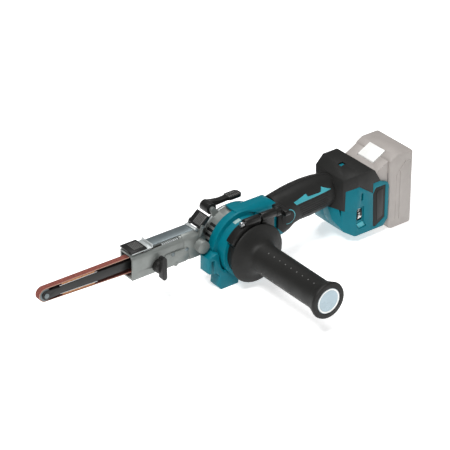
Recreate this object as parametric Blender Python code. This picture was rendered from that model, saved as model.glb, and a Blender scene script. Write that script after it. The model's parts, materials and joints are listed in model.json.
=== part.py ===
"""Cordless belt sander with a narrow swivelling arm, a battery pack and a side handle.

Run it with blender --background --python part.py, or from Blender's text editor.

Sizes are in millimetres and become metres where a mesh is made. X runs from the nose of the arm
(-X) to the battery (+X), Z is up, and the side handle points to -Y, the near side. Places are
given from the motor's axis, at the plane where the motor housing meets the gear case. The
scene's own origin is the middle of the flat front foot, on the surface that the tool rests on.
"""

import math

import bmesh
import bpy
from mathutils import Vector

MM = 0.001
CLEAR = 0.3  # between pieces that touch

# where the motor's axis stands, from the middle of the front foot
AXIS_AHEAD = 27.0
AXIS_ASIDE = 11.0
AXIS_HEIGHT = 51.0

# motor housing and gear case
DRUM_R = 41.0
DRUM_WALL = 4.0
DRUM_DEPTH = 39.2
DRUM_STEP = -27.5
DRUM_END_R = 33.0
COLLAR_R = 48.0
COLLAR_WIDTH = 12.0
RING_R = 44.6
RING_WIDTH = 21.9
RING_WALL = 3.6
HOOD_REACH = 15.5
HOOD_WALL = 4.0
NECK_REAR = 55.0
NECK_HALF = 15.0
NECK_SECTION = (
    (-15.5, -45), (15.5, -45), (15.5, 33), (14, 40), (10.5, 45), (5, 48.3), (0, 49.3), (-5, 48.3),
    (-10.5, 45),
    (-14, 40), (-15.5, 33),
)

# motor
STATOR_LENGTH = 20.0
STATOR_BORE = 23.0
ROTOR_GAP = 0.7
SHAFT_R = 4.0
FAN_R = 33.0
FAN_GAP = 0.8
BEARING_R = 8.0
BEARING_WIDTH = 5.0

# gear train, all of one module, in a straight line to the belt's drive spindle
MODULE = 1.0
PINION_TEETH = 16
IDLER_A_TEETH = 26
IDLER_B_TEETH = 20
SPINDLE_TEETH = 18
TRAIN_ANGLE = 166.2
GEAR_Y = (18.8, 21.6)
MESH_CLEAR = 0.12
GEAR_PIN_R = 3.0
SPINDLE_R = 4.0

# sanding belt
BELT_WIDTH = 9.0
BELT_THICK = 1.0
BELT_Y = 13.5
DRIVE_R = 12.4
NOSE_R = 8.2
NOSE_X = -293.5
NOSE_Z = 20.5

# arm
ARM_FRONT = -167.0
ARM_REAR = -58.3
ARM_STEP = -76.3
ARM_STEP_DEPTH = 0.9
BOSS_R = 8.8
BOSS_REACH = 11.0
SHROUD_Y = 7.0
ARM_FAR = 27.0
ARM_LOW = -2.0
ARM_TOP = 34.0
ARM_WALL = 2.5
ARM_ROUND = 8.0
SLOT_FRONT = -151.0
SLOT_REAR = -90.0
SLOT_Y = (3.4, 6.8)
SCREWS = ((-104.0, 16.0), (-82.0, 16.0))

# nose slider, its shoes and its thumb pad
NOSE_TRAVEL = 10.0
BAR_HALF = 4.5
BAR_REAR = -112.0
FORK_WALL = 1.7
FORK_R = 6.0
PIN_R = 2.4
SHOE_FRONT = -272.0
SHOE_REAR = -215.0
SHOE_THICK = 0.8
PAD_THICK = 1.6
BELT_SLACK = 0.6
THUMB_X = (-168.0, -143.0)
THUMB_THICK = 2.6
LINK_X = (-146.0, -133.5)
LINK_Y = (4.0, 6.2)
SHEET = 1.5
TOP_SHEET = 0.8
TOP_PLATE_FRONT = -142.0
TOP_PLATE_NEAR = 7.2
SPRING_R = 5.0

# hand screws, latch and lever on the arm
WING_BOLT_X = -127.0
WING_BOLT_Z = 8.3
WING_HUB_R = 9.5
WING_SPAN = 33.0
WING_THICK = 7.0
LATCH_PIVOT = (-56.0, 38.6)
EAR = 1.4
EAR_FOOT = 24.0
LEVER_PIVOT = (-25.5, 46.0)
LEVER_HUB_R = 7.6
LEVER_Y = (20.4, 39.0)
LEVER_PIN_R = 2.5
THUMB_REST_X = (6.0, 29.0)
THUMB_REST_Y = (24.5, 39.5)
THUMB_REST_Z = (45.2, 49.4)

# side handle and its clamp
BAND_WALL = 3.2
BAND_Y = (-41.7, -28.0)
CLAMP_BLOCK_R = 46.3
PLATE_THICK = 2.2
LUG_R = 6.0
LUG_Y = -35.5
LUG_Z = 46.2
LUG_FRONT = -15.0
LUG_REAR = 35.0
LUG_SPLIT = (8.0, 12.0)
CLAMP_BOLT_R = 2.9
STUD_R = 4.7
DISC_R = 41.7
DISC_Y = (-44.5, -42.0)
HANDLE_R = 20.5
HANDLE_END = -191.0
RIM_R = 25.9
CAP_R = 17.6
HANDLE_BORE = 8.0

# grip
GRIP_FRONT = 55.3
GRIP_REAR = 156.0
GRIP_WALL = 3.2
SECTION_POWER = 2.4
LEVER_PAD_X = (86.0, 140.0)
LEVER_PAD_HALF = 6.0

# rear housing
SHELL_HALF = 37.5
SHELL_REAR = 231.0
SHELL_FLOOR = -39.5
SHELL_TOP = 55.0
RUBBER = 2.5
DIAL_X = (177.5, 185.5)
DIAL_Z = -8.5
DIAL_R = 13.0

# battery pack
PACK_X = (209.0, 232.0, 273.8)
PACK_HALF = 37.5
PACK_TONGUE_HALF = 33.4
PACK_FLOOR = -51.0
PACK_TOP = 62.0
PACK_TOP_LENGTH = 30.0
PACK_SLOPE = 0.52
PACK_WALL = 2.5
BUTTON_X = (220.0, 241.0)
BUTTON_HALF = 16.0


# ---------------------------------------------------------------- places worked out from the sizes


def train_place(radius):
    """The point at this distance from the motor's axis, along the gear train."""
    angle = math.radians(TRAIN_ANGLE)
    return radius * math.cos(angle), radius * math.sin(angle)


def pitch_radius(teeth):
    return MODULE * teeth / 2


IDLER_A = train_place(pitch_radius(PINION_TEETH) + pitch_radius(IDLER_A_TEETH))
IDLER_B = train_place(
    pitch_radius(PINION_TEETH) + 2 * pitch_radius(IDLER_A_TEETH) + pitch_radius(IDLER_B_TEETH)
)
SPINDLE = train_place(
    pitch_radius(PINION_TEETH)
    + 2 * pitch_radius(IDLER_A_TEETH)
    + 2 * pitch_radius(IDLER_B_TEETH)
    + pitch_radius(SPINDLE_TEETH)
)
BELT_NEAR = BELT_Y - BELT_WIDTH / 2
BELT_FAR = BELT_Y + BELT_WIDTH / 2
BEARING_SEAT_R = BEARING_R + CLEAR
DRUM_CAVITY_R = DRUM_R - DRUM_WALL
CAVITY_START = DRUM_STEP + 3.0


def run_height(side, x, inset=0.0):
    """Height of the belt's inner face at x, on its upper (+1) or lower (-1) run, less an inset."""
    share = (x - NOSE_X) / (SPINDLE[0] - NOSE_X)
    nose = NOSE_Z + side * (NOSE_R + CLEAR)
    drive = SPINDLE[1] + side * (DRIVE_R + CLEAR)
    return nose + share * (drive - nose) - side * inset


# ---------------------------------------------------------------- mesh tools


def from_axis(x, y, z):
    """A place given from the motor's axis, in the scene's metres."""
    return Vector((x + AXIS_AHEAD, y + AXIS_ASIDE, z + AXIS_HEIGHT)) * MM


def material(name, colour, roughness, metallic=0.0):
    found = bpy.data.materials.get(name)
    if found:
        return found
    made = bpy.data.materials.new(name)
    made.use_nodes = True
    shader = made.node_tree.nodes["Principled BSDF"]
    shader.inputs["Base Color"].default_value = (*colour, 1)
    shader.inputs["Roughness"].default_value = roughness
    shader.inputs["Metallic"].default_value = metallic
    made.diffuse_color = (*colour, 1)
    return made


TEAL = material("teal_plastic", (0.0, 0.215, 0.275), 0.4)
BLACK = material("black_plastic", (0.018, 0.018, 0.017), 0.5)
RUBBER_BLACK = material("black_rubber", (0.022, 0.022, 0.021), 0.7)
SILVER = material("cast_aluminium", (0.52, 0.53, 0.53), 0.38, 1.0)
STEEL = material("steel", (0.56, 0.57, 0.58), 0.3, 1.0)
DARK_STEEL = material("dark_sheet", (0.16, 0.19, 0.2), 0.4, 1.0)
BELT_RED = material("abrasive", (0.26, 0.07, 0.05), 0.9)
CORK = material("cork", (0.5, 0.22, 0.08), 0.85)
COPPER = material("copper", (0.6, 0.25, 0.12), 0.35, 1.0)
PALE_GREY = material("pale_grey_plastic", (0.42, 0.39, 0.37), 0.5)
WHITE = material("white_plastic", (0.8, 0.79, 0.76), 0.45)
CAP_BLUE = material("pale_blue_plastic", (0.4, 0.52, 0.58), 0.45)
BOARD_GREEN = material("potted_board", (0.02, 0.09, 0.04), 0.5)


def finish(name, bm, surface, pivot=(0, 0, 0)):
    """Makes the object, with its origin on the pivot."""
    origin = from_axis(*pivot)
    bmesh.ops.remove_doubles(bm, verts=bm.verts, dist=1e-7)
    bmesh.ops.recalc_face_normals(bm, faces=bm.faces)
    if bm.calc_volume(signed=True) < 0:
        bmesh.ops.reverse_faces(bm, faces=bm.faces)
    bmesh.ops.translate(bm, verts=bm.verts, vec=-origin)
    mesh = bpy.data.meshes.new(name)
    bm.to_mesh(mesh)
    bm.free()
    mesh.shade_smooth()
    mesh.set_sharp_from_angle(angle=math.radians(35))
    if surface:
        mesh.materials.append(surface)
    made = bpy.data.objects.new(name, mesh)
    made.location = origin
    bpy.context.scene.collection.objects.link(made)
    return made


def prism(axis, outline, low, high):
    """An outline extruded along an axis; its points hold the other two coordinates in X, Y, Z order."""
    order = {"x": (2, 0, 1), "y": (0, 2, 1), "z": (0, 1, 2)}[axis]
    bm = bmesh.new()
    rings = []
    for along in (low, high):
        ring = []
        for first, second in outline:
            place = (first, second, along)
            ring.append(bm.verts.new(from_axis(*(place[i] for i in order))))
        rings.append(ring)
    count = len(outline)
    bm.faces.new(rings[0])
    bm.faces.new(rings[1][::-1])
    for i in range(count):
        j = (i + 1) % count
        bm.faces.new((rings[0][i], rings[1][i], rings[1][j], rings[0][j]))
    return bm


def box(x, y, z):
    return prism("z", [(x[0], y[0]), (x[1], y[0]), (x[1], y[1]), (x[0], y[1])], *z)


def hollow_prism(outer, inner, low, high):
    """A closed band between two outlines of the same count in XZ, extruded along Y."""
    bm = bmesh.new()
    loops = [
        [bm.verts.new(from_axis(x, y, z)) for x, z in outline] for outline in (outer, inner) for y in (low,
            high)
    ]
    count = len(outer)
    for a, b in ((0, 1), (1, 3), (3, 2), (2, 0)):
        for i in range(count):
            j = (i + 1) % count
            bm.faces.new((loops[a][i], loops[b][i], loops[b][j], loops[a][j]))
    return bm


def turned(axis, centre, profile, steps=40):
    """A closed profile of (radius, along) points turned about an axis that runs through the centre."""
    bm = bmesh.new()
    rings = []
    for k in range(steps):
        angle = 2 * math.pi * k / steps
        ring = []
        for radius, along in profile:
            across, up = radius * math.cos(angle), radius * math.sin(angle)
            if axis == "y":
                place = (centre[0] + across, along, centre[1] + up)
            elif axis == "x":
                place = (along, centre[0] + across, centre[1] + up)
            else:
                place = (centre[0] + across, centre[1] + up, along)
            ring.append(bm.verts.new(from_axis(*place)))
        rings.append(ring)
    count = len(profile)
    for k in range(steps):
        here, there = rings[k], rings[(k + 1) % steps]
        for i in range(count):
            j = (i + 1) % count
            corners = [here[i], here[j]]
            if profile[j][0] > 0:
                corners.append(there[j])
            if profile[i][0] > 0:
                corners.append(there[i])
            if len(corners) > 2:
                bm.faces.new(corners)
    return bm


def cylinder(axis, centre, radius, low, high, steps=32):
    return turned(axis, centre, [(0, low), (radius, low), (radius, high), (0, high)], steps)


def tube(axis, centre, outer, inner, low, high, steps=32):
    return turned(axis, centre, [(inner, low), (outer, low), (outer, high), (inner, high)], steps)


def arc(centre, radius, start, end, steps):
    """Points on an arc, from one angle in degrees to another."""
    points = []
    for k in range(steps + 1):
        angle = math.radians(start + (end - start) * k / steps)
        points.append((centre[0] + radius * math.cos(angle), centre[1] + radius * math.sin(angle)))
    return points


def loft(sections):
    """A solid through a row of outlines, all in the YZ plane and of one count, given as (x, points)."""
    bm = bmesh.new()
    rings = [[bm.verts.new(from_axis(x, y, z)) for y, z in points] for x, points in sections]
    count = len(rings[0])
    bm.faces.new(rings[0])
    bm.faces.new(rings[-1][::-1])
    for near, far in zip(rings, rings[1:]):
        for i in range(count):
            j = (i + 1) % count
            bm.faces.new((near[i], near[j], far[j], far[i]))
    return bm


def helper(bm, name="cutter"):
    """A body that only shapes others: it isn't rendered."""
    made = finish(name, bm, None)
    made.hide_render = True
    made.display_type = "WIRE"
    return made


def shape(made, operation, *bodies):
    """Applies a Boolean with each body in turn: a bmesh, or a helper that is already made."""
    for body in bodies:
        other = body if isinstance(body, bpy.types.Object) else helper(body)
        modifier = made.modifiers.new(operation.title(), "BOOLEAN")
        modifier.operation = operation
        modifier.object = other
        modifier.solver = "EXACT"
    return made


def cut(made, *bodies):
    return shape(made, "DIFFERENCE", *bodies)


def join(made, *bodies):
    return shape(made, "UNION", *bodies)


def keep(made, *bodies):
    return shape(made, "INTERSECT", *bodies)


def closed_solver(made):
    """For a body with many cuts close together, where the exact solver leaves open edges."""
    for modifier in made.modifiers:
        modifier.solver = "MANIFOLD"
    return made


def soften(made, width, segments=2):
    """Rounds the sharper edges, before any Boolean."""
    modifier = made.modifiers.new("Bevel", "BEVEL")
    modifier.width = width * MM
    modifier.segments = segments
    modifier.limit_method = "ANGLE"
    modifier.angle_limit = math.radians(40)
    return made


def gear_outline(centre, teeth, turn=0.0):
    """Straight-flanked teeth; turn is the angle of the first tooth's middle, in degrees."""
    pitch = pitch_radius(teeth)
    tip, root = pitch + MODULE * 0.9, pitch - MODULE * 1.15
    step = 360 / teeth
    half = step / 4
    trim = math.degrees(MESH_CLEAR / pitch)
    points = []
    for k in range(teeth):
        middle = turn + k * step
        for radius, offset in ((root, -half * 1.55), (tip, -half * 0.5), (tip, half * 0.5),
            (root, half * 1.55)):
            angle = math.radians(middle + offset - math.copysign(trim, offset))
            points.append((centre[0] + radius * math.cos(angle), centre[1] + radius * math.sin(angle)))
    return points


# ---------------------------------------------------------------- motor housing and motor


def motor_housing():
    """The teal drum round the motor, with the collar, the hood over the gear case and the neck."""
    end = -DRUM_DEPTH
    drum = turned(
        "y",
        (0, 0),
        [
            (0, end), (DRUM_END_R, end), (DRUM_END_R, DRUM_STEP), (DRUM_R, DRUM_STEP),
            (DRUM_R, -COLLAR_WIDTH),
            (COLLAR_R, -COLLAR_WIDTH), (COLLAR_R, -CLEAR), (0, -CLEAR),
        ],
        64,
    )
    made = finish("motor_housing", drum, TEAL)
    inside = RING_R + 0.8
    hood_outline = arc((0, 0), inside + HOOD_WALL, 98, -52, 30) + arc((0, 0), inside - 1.0, -52, 98, 30)
    hood = prism("y", hood_outline, -COLLAR_WIDTH / 2, HOOD_REACH)
    neck_outline = [
        (20, 47.0), (40, 49.0), (50, 47.5), (NECK_REAR, 43.0), (NECK_REAR, -9.0), (49, -15.0), (40, -18.0),
        (20, -34.0),
    ]
    neck = hidden(finish("neck_core", prism("y", neck_outline, -NECK_HALF, NECK_HALF), None))
    keep(neck, prism("x", NECK_SECTION, 10, NECK_REAR + 5))
    join(made, hood, neck)
    cut(
        made,
        cylinder("y", (0, 0), DRUM_CAVITY_R, CAVITY_START, 1, 48),
        cylinder("y", (0, 0), DRUM_END_R - DRUM_WALL, -DRUM_DEPTH + DRUM_WALL + BEARING_WIDTH, 0, 40),
        cylinder("y", (0, 0), BEARING_SEAT_R, -DRUM_DEPTH + DRUM_WALL, 0, 32),
        cylinder("y", (0, 0), inside, -CLEAR, RING_WIDTH + 10, 64),
        box((DRUM_CAVITY_R - 6, NECK_REAR + 1), (-9, 9), (-6, 38)),
    )
    return closed_solver(made)


def foot_bracket():
    """The teal guard under the collar: a channel for the arm's stop, an arc and the flat front foot."""
    low, high = -21.0, -COLLAR_WIDTH / 6
    seat = COLLAR_R + CLEAR
    band = arc((0, 0), seat + 4.0, 176, 250, 18) + arc((0, 0), seat - 4.0, 250, 176, 18)
    made = finish("foot_bracket", prism("y", band, low, high), TEAL)
    channel = [(-61, 1.5), (-50, 5.0), (-45.5, 5.0), (-45.5, -22), (-53, -24), (-61, -21)]
    foot = [(-43, -31), (-34, -24), (-12, -41), (-13, -AXIS_HEIGHT), (-41, -AXIS_HEIGHT), (-45, -46)]
    join(made, prism("y", channel, low, high), prism("y", foot, low, high))
    cut(
        made,
        box((-56.5, -51.5), (low - 1, high - 4.0), (-26, -3.5)),
        cylinder("y", (0, 0), seat, -COLLAR_WIDTH - CLEAR, 1, 64),
        cylinder("y", (0, 0), DRUM_R + CLEAR, low - 1, 1, 64),
    )
    return made


def motor():
    """Stator, rotor, shaft, fan and the two bearings, all on the motor's axis."""
    back = CAVITY_START + CLEAR
    front = back + STATOR_LENGTH
    stator = finish(
        "stator", tube("y", (0, 0), DRUM_CAVITY_R - CLEAR, STATOR_BORE, back, front, 48), COPPER
    )
    slots = 6
    for k in range(slots):
        angle = 360 * (k + 0.5) / slots
        middle = arc((0, 0), STATOR_BORE + 3.5, angle, angle, 1)[0]
        cut(stator, cylinder("y", middle, 3.2, back - 1, front + 1, 12))
    core_r = STATOR_BORE - ROTOR_GAP
    finish("rotor_core", tube("y", (0, 0), core_r, SHAFT_R + CLEAR, back, front, 48), DARK_STEEL)
    shaft_end = GEAR_Y[1] + CLEAR
    shaft_start = -DRUM_DEPTH + DRUM_WALL + CLEAR
    finish("motor_shaft", cylinder("y", (0, 0), SHAFT_R, shaft_start, shaft_end, 24), STEEL)
    hub = tube("y", (0, 0), FAN_R, SHAFT_R + CLEAR, front + 1.0, front + 2.6, 48)
    fan = finish("fan", hub, WHITE)
    blades = 9
    for k in range(blades):
        angle = math.radians(360 * k / blades)
        along = Vector((math.cos(angle), math.sin(angle)))
        side = Vector((-along.y, along.x)) * 0.7
        inner, outer = along * (SHAFT_R + 6), along * (FAN_R - 1)
        blade = [tuple(inner - side), tuple(outer - side), tuple(outer + side), tuple(inner + side)]
        join(fan, prism("y", blade, front + 1.8, -FAN_GAP))
    for name, start in (("motor_bearing_near", shaft_start),
        ("motor_bearing_far", CLEAR - BEARING_WIDTH / 2 + 1.2)):
        race = tube("y", (0, 0), BEARING_R, SHAFT_R + CLEAR, start, start + BEARING_WIDTH - CLEAR * 2, 32)
        finish(name, race, STEEL)


# ---------------------------------------------------------------- gear case and gears


def gear_case():
    """The silver ring behind the collar, with the shroud of the drive pulley that carries the arm."""
    start = CLEAR
    wall = start + 2.6
    bore, cavity = BEARING_SEAT_R, RING_R - RING_WALL
    ring = turned(
        "y", (0, 0),
        [(bore, start), (RING_R, start), (RING_R, RING_WIDTH), (cavity, RING_WIDTH), (cavity, wall),
            (bore, wall)], 60
    )
    made = finish("gear_case", ring, SILVER)
    pulley_room = DRIVE_R + BELT_THICK + 2 * CLEAR + 0.6
    shroud_r = pulley_room + 1.5
    low, high = SPINDLE[1] - shroud_r, SPINDLE[1] + shroud_r
    shroud = arc(SPINDLE, shroud_r, 76, -76, 20) + [(ARM_REAR + CLEAR, low + 1), (ARM_REAR + CLEAR, high - 1)]
    bridge = [(SPINDLE[0] + 8, low + 1.5), (-36, -6), (-36, 12), (SPINDLE[0] + 8, 11)]
    tip = MODULE + 1.2
    room = GEAR_Y[0] - 0.4
    small_room = pitch_radius(IDLER_B_TEETH) + tip
    lug = arc(LEVER_PIVOT, LEVER_PIN_R + 1.7, 30, 210, 10) + [(-25.3, 34.8), (-16.1, 39.9)]
    join(
        made,
        prism("y", shroud, SHROUD_Y, RING_WIDTH),
        prism("y", bridge, SHROUD_Y + 1, room - 0.2),
        cylinder("y", IDLER_B, small_room + 1.8, room - 1.5, RING_WIDTH - 0.2, 32),
        prism("y", lug, HOOD_REACH + CLEAR + 0.2, LEVER_Y[0] - CLEAR),
        cylinder("y", LEVER_PIVOT, LEVER_PIN_R, HOOD_REACH + 2.5, LEVER_Y[1] - 3.0, 20),
    )
    cut(
        made,
        cylinder("y", (0, 0), cavity - 0.3, wall + 0.4, RING_WIDTH + 1, 44),
        cylinder("y", SPINDLE, pulley_room, SHROUD_Y + 1.2, RING_WIDTH + 1, 36),
        cylinder("y", SPINDLE, SPINDLE_R + 1.6, SHROUD_Y - 1, SHROUD_Y + 2, 24),
        cylinder("y", IDLER_B, small_room, room, RING_WIDTH + 1, 32),
    )
    for k in range(5):
        angle = 137 + k * 9.6
        middle = Vector(arc((0, 0), RING_R, angle, angle, 1)[0])
        along = middle.normalized() * 1.6
        across = Vector((-along.y, along.x)).normalized() * 2.0
        slot = [tuple(middle + a * along + b * across) for a, b in ((-1, -1), (3, -1), (3, 1), (-1, 1))]
        cut(made, prism("y", slot, 1.6, SHROUD_Y - CLEAR if k > 3 else 14.5))
    return closed_solver(made)


def gear_case_cover():
    """The far cover of the gear case, with the idler gears' pins."""
    low, high = RING_WIDTH + CLEAR, RING_WIDTH + 3.6
    plate = turned("y", (0, 0), [(0, low), (RING_R - 1.6, low), (RING_R - 2.6, high), (0, high)], 56)
    made = finish("gear_case_cover", plate, SILVER)
    reach = pitch_radius(IDLER_B_TEETH) + MODULE + 3.0
    tail = arc(IDLER_B, reach, 110, 250, 12) + [(-30, -8), (-30, 26)]
    join(made, prism("y", tail, low + 0.1, high - 0.4))
    for place in (IDLER_A, IDLER_B):
        join(made, cylinder("y", place, GEAR_PIN_R, GEAR_Y[0] - 0.2, low + 1, 20))
    return cut(
        made,
        box((ARM_REAR - 20, ARM_REAR + CLEAR), (low - 1, high + 1), (-60, 60)),
        cylinder("y", SPINDLE, BEARING_R + 1.5 + CLEAR, low - 1, high + 1, 32),
    )


def gears():
    """Pinion on the motor's shaft, two idler gears and the spindle's gear, all in mesh."""
    names = ("pinion", "idler_gear_large", "idler_gear_small", "spindle_gear")
    places = ((0.0, 0.0), IDLER_A, IDLER_B, SPINDLE)
    counts = (PINION_TEETH, IDLER_A_TEETH, IDLER_B_TEETH, SPINDLE_TEETH)
    bores = (SHAFT_R, GEAR_PIN_R, GEAR_PIN_R, SPINDLE_R)
    turn = TRAIN_ANGLE
    for k, name in enumerate(names):
        blank = prism("y", gear_outline(places[k], counts[k], turn), *GEAR_Y)
        made = finish(name, blank, STEEL, (places[k][0], 0, places[k][1]))
        cut(made, cylinder("y", places[k], bores[k] + CLEAR, GEAR_Y[0] - 1, GEAR_Y[1] + 1, 24))
        if k + 1 < len(names):
            # a tooth of this gear points along the train, so a gap of the next one faces it
            ahead = round((TRAIN_ANGLE - turn) / (360 / counts[k]))
            offset = TRAIN_ANGLE - turn - ahead * 360 / counts[k]
            step = 360 / counts[k + 1]
            turn = TRAIN_ANGLE + 180 + step / 2 + offset * counts[k] / counts[k + 1]


def spindle():
    """The belt's drive spindle with its pulley and two bearings."""
    start, end = -9.0, ARM_FAR - 1.5
    shaft = turned(
        "y",
        SPINDLE,
        [
            (0, start), (SPINDLE_R, start), (SPINDLE_R, ARM_WALL + 1), (SPINDLE_R + 0.8, ARM_WALL + 1),
            (SPINDLE_R + 0.8, BELT_NEAR - CLEAR), (SPINDLE_R, BELT_NEAR - CLEAR), (SPINDLE_R, end), (0, end),
        ],
        24,
    )
    finish("spindle", shaft, STEEL, (SPINDLE[0], 0, SPINDLE[1]))
    wheel = tube("y", SPINDLE, DRIVE_R, SPINDLE_R + CLEAR, BELT_NEAR + 0.2, BELT_FAR - 0.2, 48)
    finish("drive_pulley", wheel, RUBBER_BLACK, (SPINDLE[0], 0, SPINDLE[1]))
    for name, low, high in (
        ("spindle_bearing_near", -7.0, ARM_WALL - 0.5),
        ("spindle_bearing_far", GEAR_Y[1] + 1.0, ARM_FAR - 1.2),
    ):
        finish(name, tube("y", SPINDLE, BEARING_R - 1.0, SPINDLE_R + CLEAR, low, high, 28), STEEL)


# ---------------------------------------------------------------- arm




def arm_frame():
    """The aluminium box of the arm, open at both ends, with the spindle's boss on its near face."""
    crest = (ARM_ROUND, ARM_TOP - ARM_ROUND)
    outline = [(0, ARM_LOW), (ARM_FAR, ARM_LOW), (ARM_FAR, ARM_TOP)] + arc(crest, ARM_ROUND, 90, 180, 8)
    made = finish("arm_frame", prism("x", outline, ARM_FRONT, ARM_REAR), SILVER)
    inner = [
        (ARM_WALL, ARM_LOW + ARM_WALL), (ARM_FAR - ARM_WALL, ARM_LOW + ARM_WALL),
        (ARM_FAR - ARM_WALL, ARM_TOP - 2.6),
    ]
    inner += arc(crest, ARM_ROUND - ARM_WALL - 0.1, 90, 180, 6)
    lobe_r = BOSS_R + 2.5
    join(made, cylinder("y", SPINDLE, lobe_r, 0.4, ARM_WALL, 32),
        cylinder("y", SPINDLE, BOSS_R, -BOSS_REACH, 1.4, 32))
    bearing_room = BEARING_R - 1.0 + CLEAR
    cut(
        made,
        prism("x", inner, ARM_FRONT - 1, ARM_REAR + 1),
        box((SLOT_FRONT, SLOT_REAR), SLOT_Y, (ARM_TOP - 8, ARM_TOP + 1)),
        box((ARM_FRONT - 1, ARM_STEP), (-1, ARM_STEP_DEPTH), (ARM_LOW - 1, ARM_LOW + 12)),
        cylinder("y", (WING_BOLT_X, WING_BOLT_Z), 3.3, -1, ARM_WALL + 1, 20),
        cylinder("y", SCREWS[0], 1.7, -1, ARM_WALL + 1, 12),
        cylinder("y", SCREWS[1], 1.7, -1, ARM_WALL + 1, 12),
        cylinder("y", SPINDLE, bearing_room, -9.5, ARM_WALL + 1, 28),
    )
    for low in (0.0, ARM_FAR - EAR):
        ear = arc(LATCH_PIVOT, 3.0, -60, 120, 8) + [(ARM_REAR - 6, EAR_FOOT), (ARM_REAR - 0.5, EAR_FOOT)]
        join(made, prism("y", ear, low, low + EAR))
    cut(made, cylinder("y", LATCH_PIVOT, 1.5, -1, ARM_FAR + 1, 16))
    join(made, prism("y", arc(SPINDLE, BEARING_R + 1.5, 90, 270, 16), GEAR_Y[1] + 1.2, ARM_FAR - 1))
    cut(made, cylinder("y", SPINDLE, bearing_room, GEAR_Y[1] + 0.8, ARM_FAR - 0.9, 28))
    return closed_solver(made)


def arm_top():
    """The dark plate over the rear of the arm and the two screws of the near face."""
    low, high = ARM_TOP + CLEAR, ARM_TOP + CLEAR + TOP_SHEET
    front = TOP_PLATE_FRONT
    far = ARM_FAR - EAR - CLEAR
    plate = box((front, ARM_REAR - 4), (TOP_PLATE_NEAR, far), (low, high))
    made = finish("arm_top_plate", plate, DARK_STEEL)
    join(made, box((ARM_REAR - 6, ARM_REAR - 3), (EAR + CLEAR, far), (low, high + 1.2)))
    head = [(0, -1.7), (2.7, -1.7), (2.7, -CLEAR), (1.3, -CLEAR), (1.3, ARM_WALL + 2), (0, ARM_WALL + 2)]
    for name, place in zip(("arm_screw_front", "arm_screw_rear"), SCREWS):
        finish(name, turned("y", place, head, 16), DARK_STEEL)


def wing_bolt():
    """Hand screw that clamps the nose slider."""
    centre = (WING_BOLT_X, WING_BOLT_Z)
    profile = [
        (0, -9.5), (WING_HUB_R - 2.5, -9.5), (WING_HUB_R, -7), (WING_HUB_R, -CLEAR), (3, -CLEAR),
        (3, ARM_WALL + 2), (0, ARM_WALL + 2),
    ]
    made = finish("wing_bolt", turned("y", centre, profile, 32), BLACK, (centre[0], 0, centre[1]))
    half = WING_SPAN / 2
    rounded = WING_THICK / 2
    outline = arc((WING_BOLT_X, WING_BOLT_Z + half - rounded), rounded, 0, 180, 8)
    outline += arc((WING_BOLT_X, WING_BOLT_Z - half + rounded), rounded, 180, 360, 8)
    join(made, prism("y", outline, -15, -6))
    return made


def rear_latch():
    """The ribbed latch that leans over the rear of the arm, on its own pin."""
    px, pz = LATCH_PIVOT
    blade = [(px - 4, pz + 1), (px + 10.5, pz + 13), (px + 14.5, pz + 9), (px + 5, pz - 1),
        (px + 2, pz - 2.4), (px - 3, pz - 2.4)]
    made = soften(finish("rear_latch", prism("y", blade, EAR + CLEAR, ARM_FAR - EAR - CLEAR), BLACK,
        (px, 0, pz)), 0.6)
    cut(made, cylinder("y", LATCH_PIVOT, 1.5, 0, ARM_FAR + 1, 16))
    finish("latch_pin", cylinder("y", LATCH_PIVOT, 1.2, -0.4, ARM_FAR + 0.4, 16), STEEL)


def lock_lever():
    """Lever that locks the arm's angle, on a pin beside the gear case."""
    low, high = LEVER_Y
    profile = [(0, low), (LEVER_HUB_R, low), (LEVER_HUB_R, high - 2), (LEVER_HUB_R - 2, high), (0, high)]
    made = finish("lock_lever", turned("y", LEVER_PIVOT, profile, 28), BLACK,
        (LEVER_PIVOT[0], 0, LEVER_PIVOT[1]))
    arm = [(-24, 53.4), (-16, 51.5), (-4, 49.5), (8, 50), (8, 45.3), (-4, 44.8), (-14, 44.5), (-22, 46)]
    x0, x1 = THUMB_REST_X
    y0, y1 = THUMB_REST_Y
    corner = 5.0
    rest = []
    for middle, start in (((x1, y1), 0), ((x0, y1), 90), ((x0, y0), 180), ((x1, y0), 270)):
        inward = (math.copysign(corner, middle[0] - x0 - 1), math.copysign(corner, middle[1] - y0 - 1))
        rest += arc((middle[0] - inward[0], middle[1] - inward[1]), corner, start, start + 90, 5)
    join(made, prism("y", arm, low + 6.6, high - 3), prism("z", rest, THUMB_REST_Z[0], THUMB_REST_Z[1]))
    return cut(made, cylinder("y", LEVER_PIVOT, LEVER_PIN_R + CLEAR, low - 1, high - 2.5, 20))


# ---------------------------------------------------------------- nose


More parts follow.
